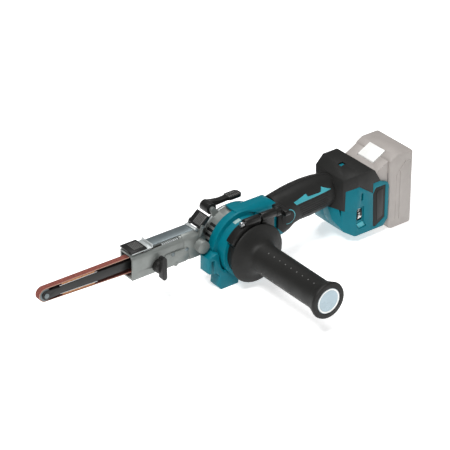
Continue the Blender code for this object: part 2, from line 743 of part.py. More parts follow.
def nose_bar():
    """The bar between the belt's runs: a fork for the pulley in front, the slider in the arm behind."""
    low, high = BELT_Y - BAR_HALF, BELT_Y + BAR_HALF
    fork_rear = NOSE_X + NOSE_R + 5.0
    inset = BELT_SLACK + PAD_THICK + SHOE_THICK + 2 * CLEAR
    bar = [
        (fork_rear - 2, NOSE_Z - 4.5), (SHOE_FRONT, run_height(-1, SHOE_FRONT, inset)),
        (SHOE_REAR + 4, run_height(-1, SHOE_REAR, inset)),
        (ARM_FRONT - 10, NOSE_Z - 8.0), (BAR_REAR, NOSE_Z - 8.0), (BAR_REAR, NOSE_Z + 3.5),
        (ARM_FRONT - 10, NOSE_Z + 3.5),
        (SHOE_REAR + 4, run_height(1, SHOE_REAR, inset)), (SHOE_FRONT, run_height(1, SHOE_FRONT, inset)),
        (fork_rear - 2, NOSE_Z + 4.5),
    ]
    made = finish("nose_bar", prism("y", bar, low, high), BLACK, (0, 0, 0))
    wide = BELT_WIDTH / 2 + CLEAR + FORK_WALL
    tines = arc((NOSE_X, NOSE_Z), FORK_R, 270, 90, 12) + [(fork_rear + 8, NOSE_Z + FORK_R - 1),
        (fork_rear + 8, NOSE_Z - FORK_R + 1)]
    join(made, prism("y", tines, BELT_Y - wide, BELT_Y + wide))
    cut(
        made,
        box((NOSE_X - 20, fork_rear - 2), (BELT_NEAR - CLEAR, BELT_FAR + CLEAR), (0, 40)),
        cylinder("y", (NOSE_X, NOSE_Z), PIN_R + CLEAR, 0, 30, 20),
        box((BAR_REAR - 14, BAR_REAR + 1), (0, BELT_Y - BAR_HALF + 2.0), (0, 40)),
    )


def nose_wheel():
    centre = (NOSE_X, NOSE_Z)
    pivot = (NOSE_X, 0, NOSE_Z)
    wheel = tube("y", centre, NOSE_R, PIN_R + CLEAR, BELT_NEAR + 0.1, BELT_FAR - 0.1, 36)
    finish("idler_pulley", wheel, STEEL, pivot)
    wide = BELT_WIDTH / 2 + CLEAR + FORK_WALL
    head = wide + CLEAR
    pin = [(0, BELT_Y - head - 1), (PIN_R + 1, BELT_Y - head - 1), (PIN_R + 1, BELT_Y - head),
        (PIN_R, BELT_Y - head)]
    pin += [(PIN_R, BELT_Y + head), (PIN_R + 1, BELT_Y + head), (PIN_R + 1, BELT_Y + head + 1),
        (0, BELT_Y + head + 1)]
    finish("idler_pin", turned("y", centre, pin, 20), STEEL)


def shoes():
    """Spring-steel shoes and cork pads that back the belt, above and below the bar."""
    for side, word in ((1, "upper"), (-1, "lower")):
        near_belt = BELT_SLACK
        pad_inner = near_belt + PAD_THICK
        plate_outer = pad_inner + CLEAR
        plate_inner = plate_outer + SHOE_THICK
        for name, outer, inner, front, rear, surface in (
            (f"{word}_pad", near_belt, pad_inner, SHOE_FRONT + 4, SHOE_REAR - 4, CORK),
            (f"{word}_shoe", plate_outer, plate_inner, SHOE_FRONT, SHOE_REAR, STEEL),
        ):
            outline = [
                (front, run_height(side, front, outer)), (rear, run_height(side, rear, outer)),
                (rear, run_height(side, rear, inner)), (front, run_height(side, front, inner)),
            ]
            finish(name, prism("y", outline, BELT_NEAR + 0.4, BELT_FAR - 0.4), surface)


def sanding_belt():
    """The endless belt round the drive pulley and the nose pulley."""
    loops = []
    length = math.dist((NOSE_X, NOSE_Z), SPINDLE)
    tilt = math.degrees(math.atan2(SPINDLE[1] - NOSE_Z, SPINDLE[0] - NOSE_X))
    lean = math.degrees(math.asin((DRIVE_R - NOSE_R) / length))
    for extra in (CLEAR + BELT_THICK, CLEAR):
        drive = arc(SPINDLE, DRIVE_R + extra, tilt - 90 - lean, tilt + 90 + lean, 20)
        nose = arc((NOSE_X, NOSE_Z), NOSE_R + extra, tilt + 90 + lean, tilt + 270 - lean, 16)
        loops.append(drive + nose)
    finish("sanding_belt", hollow_prism(loops[0], loops[1], BELT_NEAR, BELT_FAR), BELT_RED)


def tension_parts():
    """Thumb pad, its sheet link through the arm's slot, and the spring behind the slider."""
    low = ARM_TOP + 2 * CLEAR + TOP_SHEET
    pad = box(THUMB_X, (0.5, ARM_FAR - 0.5), (low + SHEET + CLEAR, low + SHEET + CLEAR + THUMB_THICK))
    soften(finish("thumb_pad", pad, BLACK), 0.7)
    sheet = box((THUMB_X[0] + 2, LINK_X[1]), (1.5, ARM_FAR - 1.5), (low, low + SHEET))
    link = finish("tension_link", sheet, STEEL)
    join(
        link,
        box((LINK_X[1] - SHEET, LINK_X[1]), (1.5, ARM_FAR - 1.5), (low + 0.2, low + 5.0)),
        box(LINK_X, LINK_Y, (NOSE_Z - 4, low + 0.5)),
    )
    spring_start = BAR_REAR + NOSE_TRAVEL + 3
    spring = tube("x", (BELT_Y, NOSE_Z - 2.5), SPRING_R, SPRING_R - 1.2, spring_start, spring_start + 10, 24)
    finish("tension_spring", spring, STEEL)


# ---------------------------------------------------------------- side handle


def clamp_bracket():
    """Split band round the drum with an end plate, and two lugs on top for the clamp bolt."""
    inner = DRUM_END_R + CLEAR
    outer = inner + BAND_WALL
    plate = BAND_Y[0] + PLATE_THICK
    hub = [
        (STUD_R + CLEAR, BAND_Y[0]), (outer, BAND_Y[0]), (outer, BAND_Y[1]), (inner, BAND_Y[1]),
        (inner, plate),
        (STUD_R + CLEAR, plate),
    ]
    made = finish("clamp_bracket", turned("y", (0, 0), hub, 64), BLACK)
    block = arc((0, 0), CLAMP_BLOCK_R, 75, 146, 14) + arc((0, 0), inner + 1, 154, 75, 12)
    join(
        made,
        prism("y", block, BAND_Y[0] + 1.2, BAND_Y[1]),
        cylinder("x", (LUG_Y, LUG_Z), LUG_R, LUG_FRONT, LUG_REAR, 28),
        box((LUG_FRONT + 2, LUG_REAR - 4), (LUG_Y - 4.5, LUG_Y + 4.5), (26, LUG_Z)),
    )
    cut(
        made,
        cylinder("y", (0, 0), inner, plate, 0, 64),
        box(LUG_SPLIT, (-60, 0), (30, 60)),
        cylinder("x", (LUG_Y, LUG_Z), CLAMP_BOLT_R + CLEAR, LUG_FRONT - 1, LUG_REAR + 1, 20),
        cylinder("x", (LUG_Y, LUG_Z), CLAMP_BOLT_R + 1.3, LUG_FRONT - 12, LUG_FRONT, 20),
    )
    return made


def clamp_screw():
    """The clamp bolt along X and its wing knob."""
    centre = (LUG_Y, LUG_Z)
    bolt = [
        (0, LUG_FRONT - 6), (CLAMP_BOLT_R + 0.7, LUG_FRONT - 6), (CLAMP_BOLT_R + 0.7, LUG_FRONT - CLEAR),
        (CLAMP_BOLT_R, LUG_FRONT - CLEAR), (CLAMP_BOLT_R, LUG_REAR + 6), (0, LUG_REAR + 6),
    ]
    finish("clamp_bolt", turned("x", centre, bolt, 20), STEEL)
    low = LUG_REAR + CLEAR
    knob = [
        (CLAMP_BOLT_R + CLEAR, low), (LUG_R + 0.5, low), (LUG_R + 0.5, low + 8), (LUG_R - 1.5, low + 11),
        (0, low + 11),
        (0, LUG_REAR + 6 + CLEAR), (CLAMP_BOLT_R + CLEAR, LUG_REAR + 6 + CLEAR),
    ]
    made = finish("clamp_knob", turned("x", centre, knob, 28), BLACK, (0, LUG_Y, LUG_Z))
    half = 11.5
    outline = arc((LUG_Y + half, LUG_Z), 3.6, -90, 90, 8) + arc((LUG_Y - half, LUG_Z), 3.6, 90, 270, 8)
    join(made, prism("x", outline, low + 7, low + 15))
    return made


def side_handle():
    """Side handle with its flared flange, its steel stud and its end cap."""
    near, far = DISC_Y
    flare = [(HANDLE_R + (DISC_R - 1.5 - HANDLE_R) * (1 - k / 8) ** 2.6,
        near - 1.0 - 17 * (k / 8)) for k in range(8)]
    profile = [(HANDLE_BORE, far), (DISC_R - 0.8, far), (DISC_R, far - 0.8), (DISC_R, near + 0.6)] + flare
    profile += [(HANDLE_R, HANDLE_END + 18), (RIM_R - 2, HANDLE_END + 8), (RIM_R, HANDLE_END + 3),
        (RIM_R - 1, HANDLE_END)]
    profile += [(CAP_R + CLEAR, HANDLE_END), (CAP_R + CLEAR, HANDLE_END + 4), (HANDLE_BORE, HANDLE_END + 4)]
    finish("side_handle", turned("y", (0, 0), profile, 36), RUBBER_BLACK)
    stud = [(0, far - 30), (HANDLE_BORE - CLEAR, far - 30), (HANDLE_BORE - CLEAR, far - 0.5),
        (STUD_R, far - 0.5)]
    stud += [(STUD_R, BAND_Y[0] + PLATE_THICK), (0, BAND_Y[0] + PLATE_THICK)]
    finish("side_handle_stud", turned("y", (0, 0), stud, 24), STEEL)
    cap = [(0, HANDLE_END + 0.8), (CAP_R - 4, HANDLE_END + 0.8), (CAP_R, HANDLE_END + 0.2),
        (CAP_R, HANDLE_END + 3.6)]
    cap += [(HANDLE_BORE - CLEAR, HANDLE_END + 3.6), (HANDLE_BORE - CLEAR, HANDLE_END + 12),
        (0, HANDLE_END + 12)]
    finish("side_handle_cap", turned("y", (0, 0), cap, 40), CAP_BLUE)


# ---------------------------------------------------------------- grip


def oval(middle, half_wide, half_high, steps=28, power=SECTION_POWER):
    """A rounded section in the YZ plane, between an ellipse and a rectangle."""
    points = []
    for k in range(steps):
        angle = 2 * math.pi * (k + 0.5) / steps
        c, s = math.cos(angle), math.sin(angle)
        points.append((
            half_wide * math.copysign(abs(c) ** (2 / power), c),
            middle + half_high * math.copysign(abs(s) ** (2 / power), s),
        ))
    return points


GRIP_SECTIONS = (
    # x, underside, top, half width
    (GRIP_FRONT, -13.0, 46.0, 18.5),
    (66.0, -13.0, 47.0, 21.0),
    (76.0, -9.5, 48.2, 22.0),
    (84.0, -3.0, 49.4, 22.0),
    (96.0, -0.5, 51.0, 21.5),
    (115.0, -0.5, 52.0, 21.5),
    (134.0, 1.5, 51.0, 21.0),
    (148.0, 3.5, 48.5, 20.0),
    (GRIP_REAR, 4.0, 47.0, 19.5),
)


def grip_body(inset):
    sections = []
    for x, low, high, half in GRIP_SECTIONS:
        middle, tall = (low + high) / 2, (high - low) / 2
        sections.append((x, oval(middle, half - inset, tall - inset)))
    return loft(sections)


def half_space(side):
    """Everything on the near (-1) or far (+1) side of the middle plane, less half the gap."""
    gap = CLEAR / 2
    span = (-90, -gap) if side < 0 else (gap, 90)
    return box((0, 320), span, (-120, 160))


def grip_halves():
    for side, word in ((-1, "near"), (1, "far")):
        made = finish(f"grip_{word}", grip_body(0), RUBBER_BLACK)
        hollow = helper(grip_body(GRIP_WALL), "grip_hollow")
        cut(
            made,
            hollow,
            box((GRIP_FRONT - 1, GRIP_FRONT + 6), (-11, 11), (-6, 38)),
            box((GRIP_REAR - 6, GRIP_REAR + 1), (-12, 12), (10, 40)),
            box((LEVER_PAD_X[0] - 0.6, LEVER_PAD_X[1] + 0.6), (-LEVER_PAD_HALF - 0.6, LEVER_PAD_HALF + 0.6),
                (-12, 10)),
        )
        keep(made, half_space(side))


def switch():
    """The switch in the grip and the lever under it."""
    finish("switch_body", box((100, 128), (-8, 8), (18, 36)), BLACK)
    x0, x1 = LEVER_PAD_X
    wide = LEVER_PAD_HALF
    outline = [(x0, 0.5), (x0 + 4, -1.8), (x1 - 30, -2.0), (x1 - 8, 0.6), (x1, 3.6), (x1, 8.0),
        (x0 + 20, 6.0), (x0, 5.5)]
    made = finish("switch_lever", prism("y", outline, -wide, wide), BLACK, (x1 - 3, 0, 5.8))
    cut(made, cylinder("y", (x1 - 3, 5.8), 1.2, -10, 10, 12))


# ---------------------------------------------------------------- rear housing


def rear_outline(inset):
    """Side view of the rear housing, front first and anticlockwise, moved inwards by the inset."""
    i = inset
    return [
        (146 + i, 4.0), (149 + i, -13.0), (159 + i, -31.0 + i), (173, SHELL_FLOOR + i),
        (223 - i, SHELL_FLOOR + i),
        (SHELL_REAR - i, -30.0), (SHELL_REAR - i, 22.0), (SHELL_REAR - 3 - i, 27.0 - i),
        (217 - i, 31.0 - i), (205 - i, SHELL_TOP - 3 - i),
        (201 - i, SHELL_TOP - i), (177, SHELL_TOP - i), (158 + i, 49.0 - i), (148 + i, 40.0 - i),
    ]


def rear_plan(inset):
    """Plan view of the rear housing, a long octagon cut off behind."""
    half = SHELL_HALF - inset
    front = [(146 + inset, 12.0), (157 + inset, 29.0 - inset), (176, half)]
    rear = [(SHELL_REAR + 5, half)]
    return [(x, -y) for x, y in front] + [(x, -y) for x, y in rear] + [(x, y) for x,
        y in rear] + [(x, y) for x, y in front[::-1]]


def rear_body(name, inset, surface=None):
    side = finish(name, prism("y", rear_outline(inset), -60, 60), surface)
    keep(side, prism("z", rear_plan(inset), -80, 80))
    return side


def hidden(made):
    made.hide_render = True
    made.display_type = "WIRE"
    return made


COVER_EDGE = ((140, 8), (160, 1), (160.5, 31), (178, 36), (203, 18), (203, 33), (218, 33), (240, 70),
    (140, 70))
BUMPER_EDGE = ((205, -34), (208.5, -35.5), (225, -26), (225, 24), (208, 24), (203.5, 16))


def grown(outline, gap):
    """The outline, which runs anticlockwise, with each side moved outwards by the gap."""
    points = [Vector(point) for point in outline]
    moved = []
    for k, here in enumerate(points):
        before = (here - points[k - 1]).normalized()
        after = (points[(k + 1) % len(points)] - here).normalized()
        out = Vector((before.y, -before.x)) + Vector((after.y, -after.x))
        moved.append(tuple(here + out * (gap * 2 / out.length_squared)))
    return moved


def cover_region(gap):
    """Side view of what the rubber cover takes, grown by the gap."""
    return prism("y", grown(COVER_EDGE, gap), -60, 60)


def bumper_region(side, gap):
    low, high = SHELL_HALF - RUBBER - gap, SHELL_HALF + 2
    return prism("y", grown(BUMPER_EDGE, gap), *(sorted((side * low, side * high))))


def battery_room():
    return box((PACK_X[0] - 0.6, 250), (-PACK_TONGUE_HALF - 0.6, PACK_TONGUE_HALF + 0.6), (-60, 100))


def rear_housing():
    """Two teal shells, the rubber cover moulded over their top, and the side bumpers."""
    core = hidden(rear_body("rear_core", RUBBER + CLEAR))
    cover_core = hidden(rear_body("cover_core", RUBBER))
    for side, word in ((-1, "near"), (1, "far")):
        made = rear_body(f"rear_shell_{word}", 0, TEAL)
        skin = helper(cover_region(CLEAR), "cover_room")
        cut(skin, core)
        cavity = prism("y",
            [(154, 6), (156, -10), (165, -30), (175, -35.5), (206, -35.5), (206, 48), (180, 48), (160, 42),
                (154, 36)], -27, 27)
        cut(
            made,
            skin,
            bumper_region(side, CLEAR),
            helper(cavity, "rear_cavity"),
            battery_room(),
            helper(grip_body(-CLEAR), "grip_room"),
            box((200, 212), (-24, 24), (-16, 20)),
        )
        if side < 0:
            recess = [(174.5, -21), (174.5, -1), (180, 5), (188, 3), (188, -19), (193, -29), (180, -30)]
            cut(
                made,
                prism("y", recess, -SHELL_HALF - 1, -SHELL_HALF + 2.2),
                box((DIAL_X[0] - 0.6, DIAL_X[1] + 0.6), (-SHELL_HALF - 2, -20), (DIAL_Z - 9, DIAL_Z + 9)),
                box((182.5, 186), (-SHELL_HALF - 1, -SHELL_HALF + 3), (13, 24)),
                cylinder("x", (DIAL_R - SHELL_HALF + 1.0, DIAL_Z), DIAL_R + 1.0, DIAL_X[0] - 0.6,
                    DIAL_X[1] + 0.6, 32),
            )
        keep(made, half_space(side))
        bumper = finish(f"side_bumper_{word}", bumper_region(side, 0), RUBBER_BLACK)
        keep(bumper, hidden(rear_body(f"bumper_trim_{word}", 0.0)))
    cover = rear_body("rubber_cover", 0, RUBBER_BLACK)
    cut(
        cover,
        cover_core,
        battery_room(),
        helper(grip_body(-CLEAR), "cover_grip_room"),
        box((174, 183), (-4, 4), (40, 60)),
    )
    keep(cover, cover_region(0))


def electronics():
    finish("controller", box((163, 173), (-24, 24), (-22, 4)), BOARD_GREEN)
    finish("terminal_block", box((192, 208), (-20, 20), (-14, 18)), BLACK)
    dial = turned(
        "x",
        (DIAL_R - SHELL_HALF + 1.0, DIAL_Z),
        [(2, DIAL_X[0]), (DIAL_R - 0.6, DIAL_X[0]), (DIAL_R, DIAL_X[0] + 0.6), (DIAL_R, DIAL_X[1] - 0.6),
            (DIAL_R - 0.6, DIAL_X[1]), (2, DIAL_X[1])],
        36,
    )
    finish("speed_dial", dial, WHITE, (0, DIAL_R - SHELL_HALF + 1.0, DIAL_Z))


# ---------------------------------------------------------------- battery pack


def slope_height(x):
    """Height of the pack's front slope at x."""
    return PACK_TOP - (PACK_X[2] - PACK_TOP_LENGTH - x) * PACK_SLOPE


def battery():
    """The tongue that slides into the housing, the case behind it, the cells and the release button."""
    front, joint, rear = PACK_X
    crest = rear - PACK_TOP_LENGTH
    tongue_outline = [(front, -38.5), (joint, -38.5), (joint, slope_height(joint)),
        (front, slope_height(front))]
    tongue = finish("battery_tongue", prism("y", tongue_outline, -PACK_TONGUE_HALF, PACK_TONGUE_HALF),
        PALE_GREY)
    cut(tongue, box((front - 1, front + 12), (-26, 26), (-45, 8)))
    start = joint + CLEAR
    case_outline = [
        (start, -42.0), (start + 4, PACK_FLOOR), (rear, PACK_FLOOR), (rear, PACK_TOP), (crest, PACK_TOP),
        (start, slope_height(start)),
    ]
    case = soften(finish("battery_case", prism("y", case_outline, -PACK_HALF, PACK_HALF), PALE_GREY), 4.0, 3)
    back = rear - PACK_WALL
    room = [(start - 6, -36), (back, -36), (back, 44), (start - 6, 36)]
    cut(case, prism("y", room, -PACK_TONGUE_HALF, PACK_TONGUE_HALF))
    cells = box((start + 0.5, rear - PACK_WALL - 1), (-32, 32), (-34, 34))
    finish("cell_pack", cells, CAP_BLUE)
    lean = [(x, slope_height(x)) for x in BUTTON_X]
    deep = 4.0
    button_outline = [
        (lean[0][0], lean[0][1] - deep), (lean[1][0], lean[1][1] - deep),
        (lean[1][0], lean[1][1] + 1.2), (lean[0][0], lean[0][1] + 1.2),
    ]
    button = finish("battery_button", prism("y", button_outline, -BUTTON_HALF, BUTTON_HALF), WHITE)
    grown = 0.5
    pocket_outline = [
        (lean[0][0] - grown, lean[0][1] - deep - 3), (lean[1][0] + grown, lean[1][1] - deep - 3),
        (lean[1][0] + grown, lean[1][1] + 9), (lean[0][0] - grown, lean[0][1] + 9),
    ]
    pocket = helper(prism("y", pocket_outline, -BUTTON_HALF - grown, BUTTON_HALF + grown), "button_room")
    cut(tongue, pocket)
    cut(case, pocket)
    return button


def clear_scene():
    for old in list(bpy.data.objects):
        bpy.data.objects.remove(old, do_unlink=True)


def main():
    clear_scene()
    motor_housing()
    foot_bracket()
    motor()
    gear_case()
    gear_case_cover()
    gears()
    spindle()
    arm_frame()
    arm_top()
    wing_bolt()
    rear_latch()
    lock_lever()
    nose_bar()
    nose_wheel()
    shoes()
    sanding_belt()
    tension_parts()
    clamp_bracket()
    clamp_screw()
    side_handle()
    grip_halves()
    switch()
    rear_housing()
    electronics()
    battery()


main()
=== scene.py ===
"""Finishes a cordless belt sander: rounded pieces, their surface detail, and its materials.

Run it in Blender's text editor or with --background --python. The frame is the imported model, in
metres, and every size here is in millimetres from the motor's axis: X to the battery, Z up, and
-Y to the side handle.
"""

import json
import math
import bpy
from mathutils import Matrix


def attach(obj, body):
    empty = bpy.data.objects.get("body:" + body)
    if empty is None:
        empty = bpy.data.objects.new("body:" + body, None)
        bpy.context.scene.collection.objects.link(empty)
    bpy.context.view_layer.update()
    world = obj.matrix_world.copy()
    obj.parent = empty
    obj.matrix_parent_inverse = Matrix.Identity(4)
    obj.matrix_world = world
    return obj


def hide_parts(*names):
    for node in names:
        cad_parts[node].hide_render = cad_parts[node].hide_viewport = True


bl_info = {
    "name": "Belt Sander Finish",
    "version": (1, 0, 0),
    "blender": (4, 5, 0),
    "location": "3D View > Sidebar > Sander",
    "description": "Finishes a handheld belt sander around its fixed frame",
    "category": "Object",
}

import bpy
from mathutils import Vector

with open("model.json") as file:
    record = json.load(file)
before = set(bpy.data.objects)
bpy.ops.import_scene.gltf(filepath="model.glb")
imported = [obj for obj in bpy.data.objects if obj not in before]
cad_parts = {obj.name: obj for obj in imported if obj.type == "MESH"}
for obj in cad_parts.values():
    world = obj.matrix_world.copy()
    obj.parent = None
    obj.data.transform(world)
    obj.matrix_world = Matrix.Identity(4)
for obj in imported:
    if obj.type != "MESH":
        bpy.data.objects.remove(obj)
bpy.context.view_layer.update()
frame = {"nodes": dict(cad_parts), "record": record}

MM = 0.001
MOTOR_AXIS = Vector((27.0, 11.0, 51.0))
AXES = {"x": 0, "y": 1, "z": 2}
BODY_OF = {
    node: body
    for body, nodes in frame["record"]["behaviour"]["bodies"].items()
    for node in nodes
}

# the model's own pieces: places from the motor's axis and radii, in millimetres
HANDLE_R = 20.5
HANDLE_END = -191.0  # Y of the side handle's free end
RING_R = 44.6
DIAL_PLACE = (-23.5, -8.5)  # Y and Z
DIAL_R = 13.0
LATCH_PIVOT = (-56.0, 38.6)  # X and Z
ARM_TOP = 34.0
BELT_Y = 13.5

# surface detail: sizes and places in millimetres, angles in degrees
BEVEL_ANGLE = 30  # edges sharper than this are rounded
BELT_EDGE = (4.2, 4.45)  # where the belt's pale edge begins and is full, from its middle
BOSS_PLACE = (70, 20)
LUG_PLACE = (-99.4, -0.4)
COUNTERSINKS = ((-104, 16), (-82, 16))
TOOTH_PITCH = 2.1
RACK_PITCH = 2.9
THUMB_RIB_PITCH = 2.1
LATCH_RIB_PITCH = 2.55
LEVER_RIB_PITCH = 3.1
LEVER_RIB_ROWS = (0, 6.1)
VENT_START = 137
VENT_PITCH = 9.6
VENT_HALF = 1.95
DOT_ROWS = (22, 112, 200, 292)
DOT_START = -78
DOT_PITCH = 11.5
DOTS_PER_ROW = 9
DOT_SINK = 0.25
GRIP_RIBS = 6
GRIP_RIB_HALF = 0.495
DIAL_MARKS = 14
DIAL_MARK_START = 84
DIAL_MARK_PITCH = 14

# studio: metres and watts, but for the target and the lens, which are in millimetres
LIGHT_TARGET = (40, -20, 10)
LAMPS = (  # name, place from the target, width, power
    ("key", (-0.9, -0.5, 1.7), 0.6, 32),
    ("top", (0.3, 0.5, 1.8), 0.7, 13),
    ("fill", (1.4, -1.4, 0.7), 0.7, 4),
)
SKY_STRENGTH = 0.2
FLOOR_SIZE = 14
FLOOR_DROP = 0.2 * MM
FLOOR_GLOW = 0.6
CAMERA_LENS = 186.6
CAMERA_SENSOR = 36
CAMERA_DISTANCE = 3.0687
CAMERA_LEFT = 0.0151
CAMERA_UP = 0.0195
CAMERA_CLIP = 50


def place(x, y, z):
    """A point given in millimetres from the motor's axis, as metres in the frame."""
    return (Vector((x, y, z)) + MOTOR_AXIS) * MM


def on_axis(axis, along, across):
    """A point from its distance along an axis and its two places across it."""
    first, second = across
    if axis == "x":
        return place(along, first, second)
    if axis == "y":
        return place(first, along, second)
    return place(first, second, along)


# ---------------------------------------------------------------- what a user may change


class SanderColours(bpy.types.PropertyGroup):
    """Colours of the sander's finishes"""

    teal: bpy.props.FloatVectorProperty(
        name="Housing teal", description="Moulded plastic of the motor and rear housings",
        subtype="COLOR", size=3, min=0, max=1, default=(0.0, 0.145, 0.19),
    )
    inlay: bpy.props.FloatVectorProperty(
        name="Inlay teal", description="Lighter teal strips let into the grip",
        subtype="COLOR", size=3, min=0, max=1, default=(0.03, 0.33, 0.39),
    )
    rubber: bpy.props.FloatVectorProperty(
        name="Grip rubber", description="Soft overmoulding of the grips and bumpers",
        subtype="COLOR", size=3, min=0, max=1, default=(0.011, 0.011, 0.0102),
    )
    black: bpy.props.FloatVectorProperty(
        name="Black plastic", description="Levers, knobs and the clamp",
        subtype="COLOR", size=3, min=0, max=1, default=(0.007, 0.007, 0.0066),
    )
    casting: bpy.props.FloatVectorProperty(
        name="Casting", description="Blasted aluminium of the arm and gear case",
        subtype="COLOR", size=3, min=0, max=1, default=(0.20, 0.215, 0.205),
    )
    sheet: bpy.props.FloatVectorProperty(
        name="Coated sheet", description="Dark plate over the arm",
        subtype="COLOR", size=3, min=0, max=1, default=(0.16, 0.19, 0.20),
    )
    grit: bpy.props.FloatVectorProperty(
        name="Grit", description="Sanding belt's abrasive",
        subtype="COLOR", size=3, min=0, max=1, default=(0.235, 0.062, 0.045),
    )
    battery: bpy.props.FloatVectorProperty(
        name="Battery grey", description="Battery pack's case",
        subtype="COLOR", size=3, min=0, max=1, default=(0.36, 0.33, 0.31),
    )
    white: bpy.props.FloatVectorProperty(
        name="White", description="Battery release button and speed dial",
        subtype="COLOR", size=3, min=0, max=1, default=(0.87, 0.87, 0.85),
    )
    cap: bpy.props.FloatVectorProperty(
        name="End cap", description="Disc in the end of the side handle",
        subtype="COLOR", size=3, min=0, max=1, default=(0.40, 0.51, 0.57),
    )


class SanderSizes(bpy.types.PropertyGroup):
    """Sizes of the sander's surface detail"""

    casting_round: bpy.props.FloatProperty(
        name="Casting edge", description="Rounding of the aluminium edges",
        subtype="DISTANCE", unit="LENGTH", default=0.5 * MM, min=0.05 * MM, max=2 * MM,
    )
    housing_round: bpy.props.FloatProperty(
        name="Housing edge", description="Rounding of the plastic housings' edges",
        subtype="DISTANCE", unit="LENGTH", default=0.8 * MM, min=0.05 * MM, max=3 * MM,
    )
    small_round: bpy.props.FloatProperty(
        name="Small edge", description="Rounding of the small pieces' edges",
        subtype="DISTANCE", unit="LENGTH", default=0.3 * MM, min=0.05 * MM, max=1 * MM,
    )
    rib_height: bpy.props.FloatProperty(
        name="Rib height", description="How far the grip's ribs stand proud",
        subtype="DISTANCE", unit="LENGTH", default=0.55 * MM, min=0.1 * MM, max=2 * MM,
    )
    dot_radius: bpy.props.FloatProperty(
        name="Dot radius", description="Radius of the raised dots on the side handle",
        subtype="DISTANCE", unit="LENGTH", default=0.95 * MM, min=0.2 * MM, max=2 * MM,
    )
    view_azimuth: bpy.props.FloatProperty(
        name="View azimuth", description="Camera's turn about the vertical",
        subtype="ANGLE", unit="ROTATION", default=math.radians(-37.3),
    )
    view_elevation: bpy.props.FloatProperty(
        name="View elevation", description="Camera's height above the horizon",
        subtype="ANGLE", unit="ROTATION", default=math.radians(30.2),
    )


def colours():
    return bpy.context.scene.sander_colours


def sizes():
    return bpy.context.scene.sander_sizes


# ---------------------------------------------------------------- bench tools: select, cut, join


def take(*pieces):
    """Selects these pieces only and makes the first one active."""
    bpy.ops.object.select_all(action="DESELECT")
    for piece in pieces:
        piece.select_set(True)
    bpy.context.view_layer.objects.active = pieces[0]


def edit_all(piece, kind="FACE"):
    """Opens a piece for editing with everything selected."""
    take(piece)
    bpy.ops.object.mode_set(mode="EDIT")
    bpy.ops.mesh.select_mode(type=kind)
    bpy.ops.mesh.select_all(action="SELECT")


def close_edit():
    bpy.ops.object.mode_set(mode="OBJECT")


def apply_modifier(piece, kind, **settings):
    take(piece)
    modifier = piece.modifiers.new(kind.title(), kind)
    for key, value in settings.items():
        setattr(modifier, key, value)
    bpy.ops.object.modifier_apply(modifier=modifier.name)


def rounded(piece, width, segments=2):
    """Rounds a piece's edges by a width in metres, and shades it smooth across them."""
    if width:
        apply_modifier(
            piece, "BEVEL", width=width, segments=segments, limit_method="ANGLE",
            angle_limit=math.radians(BEVEL_ANGLE), use_clamp_overlap=True, miter_outer="MITER_ARC",
        )
    return smoothed(piece)


def smoothed(piece, angle=42):
    take(piece)
    bpy.ops.object.shade_smooth_by_angle(angle=math.radians(angle))
    return piece


def flat_shape(name, axis, outline, low):
    """A flat face with this outline, across an axis."""
    bpy.ops.object.select_all(action="DESELECT")
    bpy.ops.mesh.primitive_circle_add(vertices=len(outline), radius=MM, fill_type="NGON")
    piece = bpy.context.object
    piece.name = name
    for vertex, point in zip(piece.data.vertices, outline):
        vertex.co = on_axis(axis, low, point)
    return piece


def plate(name, axis, outline, low, high, edge=0.3):
    """A plate: a flat outline extruded along an axis, with rounded edges."""
    piece = flat_shape(name, axis, outline, low)
    step = Vector((0, 0, 0))
    step[AXES[axis]] = (high - low) * MM
    edit_all(piece)
    bpy.ops.mesh.extrude_region_move(TRANSFORM_OT_translate={"value": step})
    bpy.ops.mesh.select_all(action="SELECT")
    bpy.ops.mesh.normals_make_consistent(inside=False)
    close_edit()
    return rounded(piece, edge * MM)


def bar(name, x, y, z, edge):
    """A short bar between two corners."""
    low, high = place(x[0], y[0], z[0]), place(x[1], y[1], z[1])
    bpy.ops.object.select_all(action="DESELECT")
    bpy.ops.mesh.primitive_cube_add(size=1, location=(low + high) / 2, scale=high - low)
    bpy.ops.object.transform_apply(location=True, rotation=True, scale=True)
    piece = bpy.context.object
    piece.name = name
    return rounded(piece, edge * MM)


def turned(name, axis, centre, profile, steps):
    """A turned piece: (radius, along) points spun round an axis through a centre."""
    points = []
    for radius, along in profile:
        points.append((centre[0] + radius, centre[1]) if axis != "x" else (centre[0], centre[1] + radius))
    bpy.ops.object.select_all(action="DESELECT")
    bpy.ops.mesh.primitive_circle_add(vertices=len(profile), radius=MM, fill_type="NOTHING")
    piece = bpy.context.object
    piece.name = name
    for vertex, point, (radius, along) in zip(piece.data.vertices, points, profile):
        vertex.co = on_axis(axis, along, point)
    direction = [0, 0, 0]
    direction[AXES[axis]] = 1
    edit_all(piece, "VERT")
    bpy.ops.mesh.spin(
        steps=steps, angle=2 * math.pi, center=on_axis(axis, 0, centre), axis=direction,
    )
    bpy.ops.mesh.select_all(action="SELECT")
    bpy.ops.mesh.remove_doubles(threshold=0.002 * MM)
    bpy.ops.mesh.normals_make_consistent(inside=False)
    close_edit()
    return smoothed(piece)


def joined(name, pieces):
    take(*pieces)
    bpy.ops.object.join()
    piece = bpy.context.object
    piece.name = name
    return piece


def repeated(name, piece, steps):
    """The piece copied at each of these steps, in millimetres, and joined as one."""
    made = []
    for step in steps:
        take(piece)
        bpy.ops.object.duplicate(linked=False)
        copy = bpy.context.object
        copy.location = Vector(step) * MM
        bpy.ops.object.transform_apply(location=True, rotation=True, scale=True)
        made.append(copy)
    bpy.data.objects.remove(piece)
    return joined(name, made)


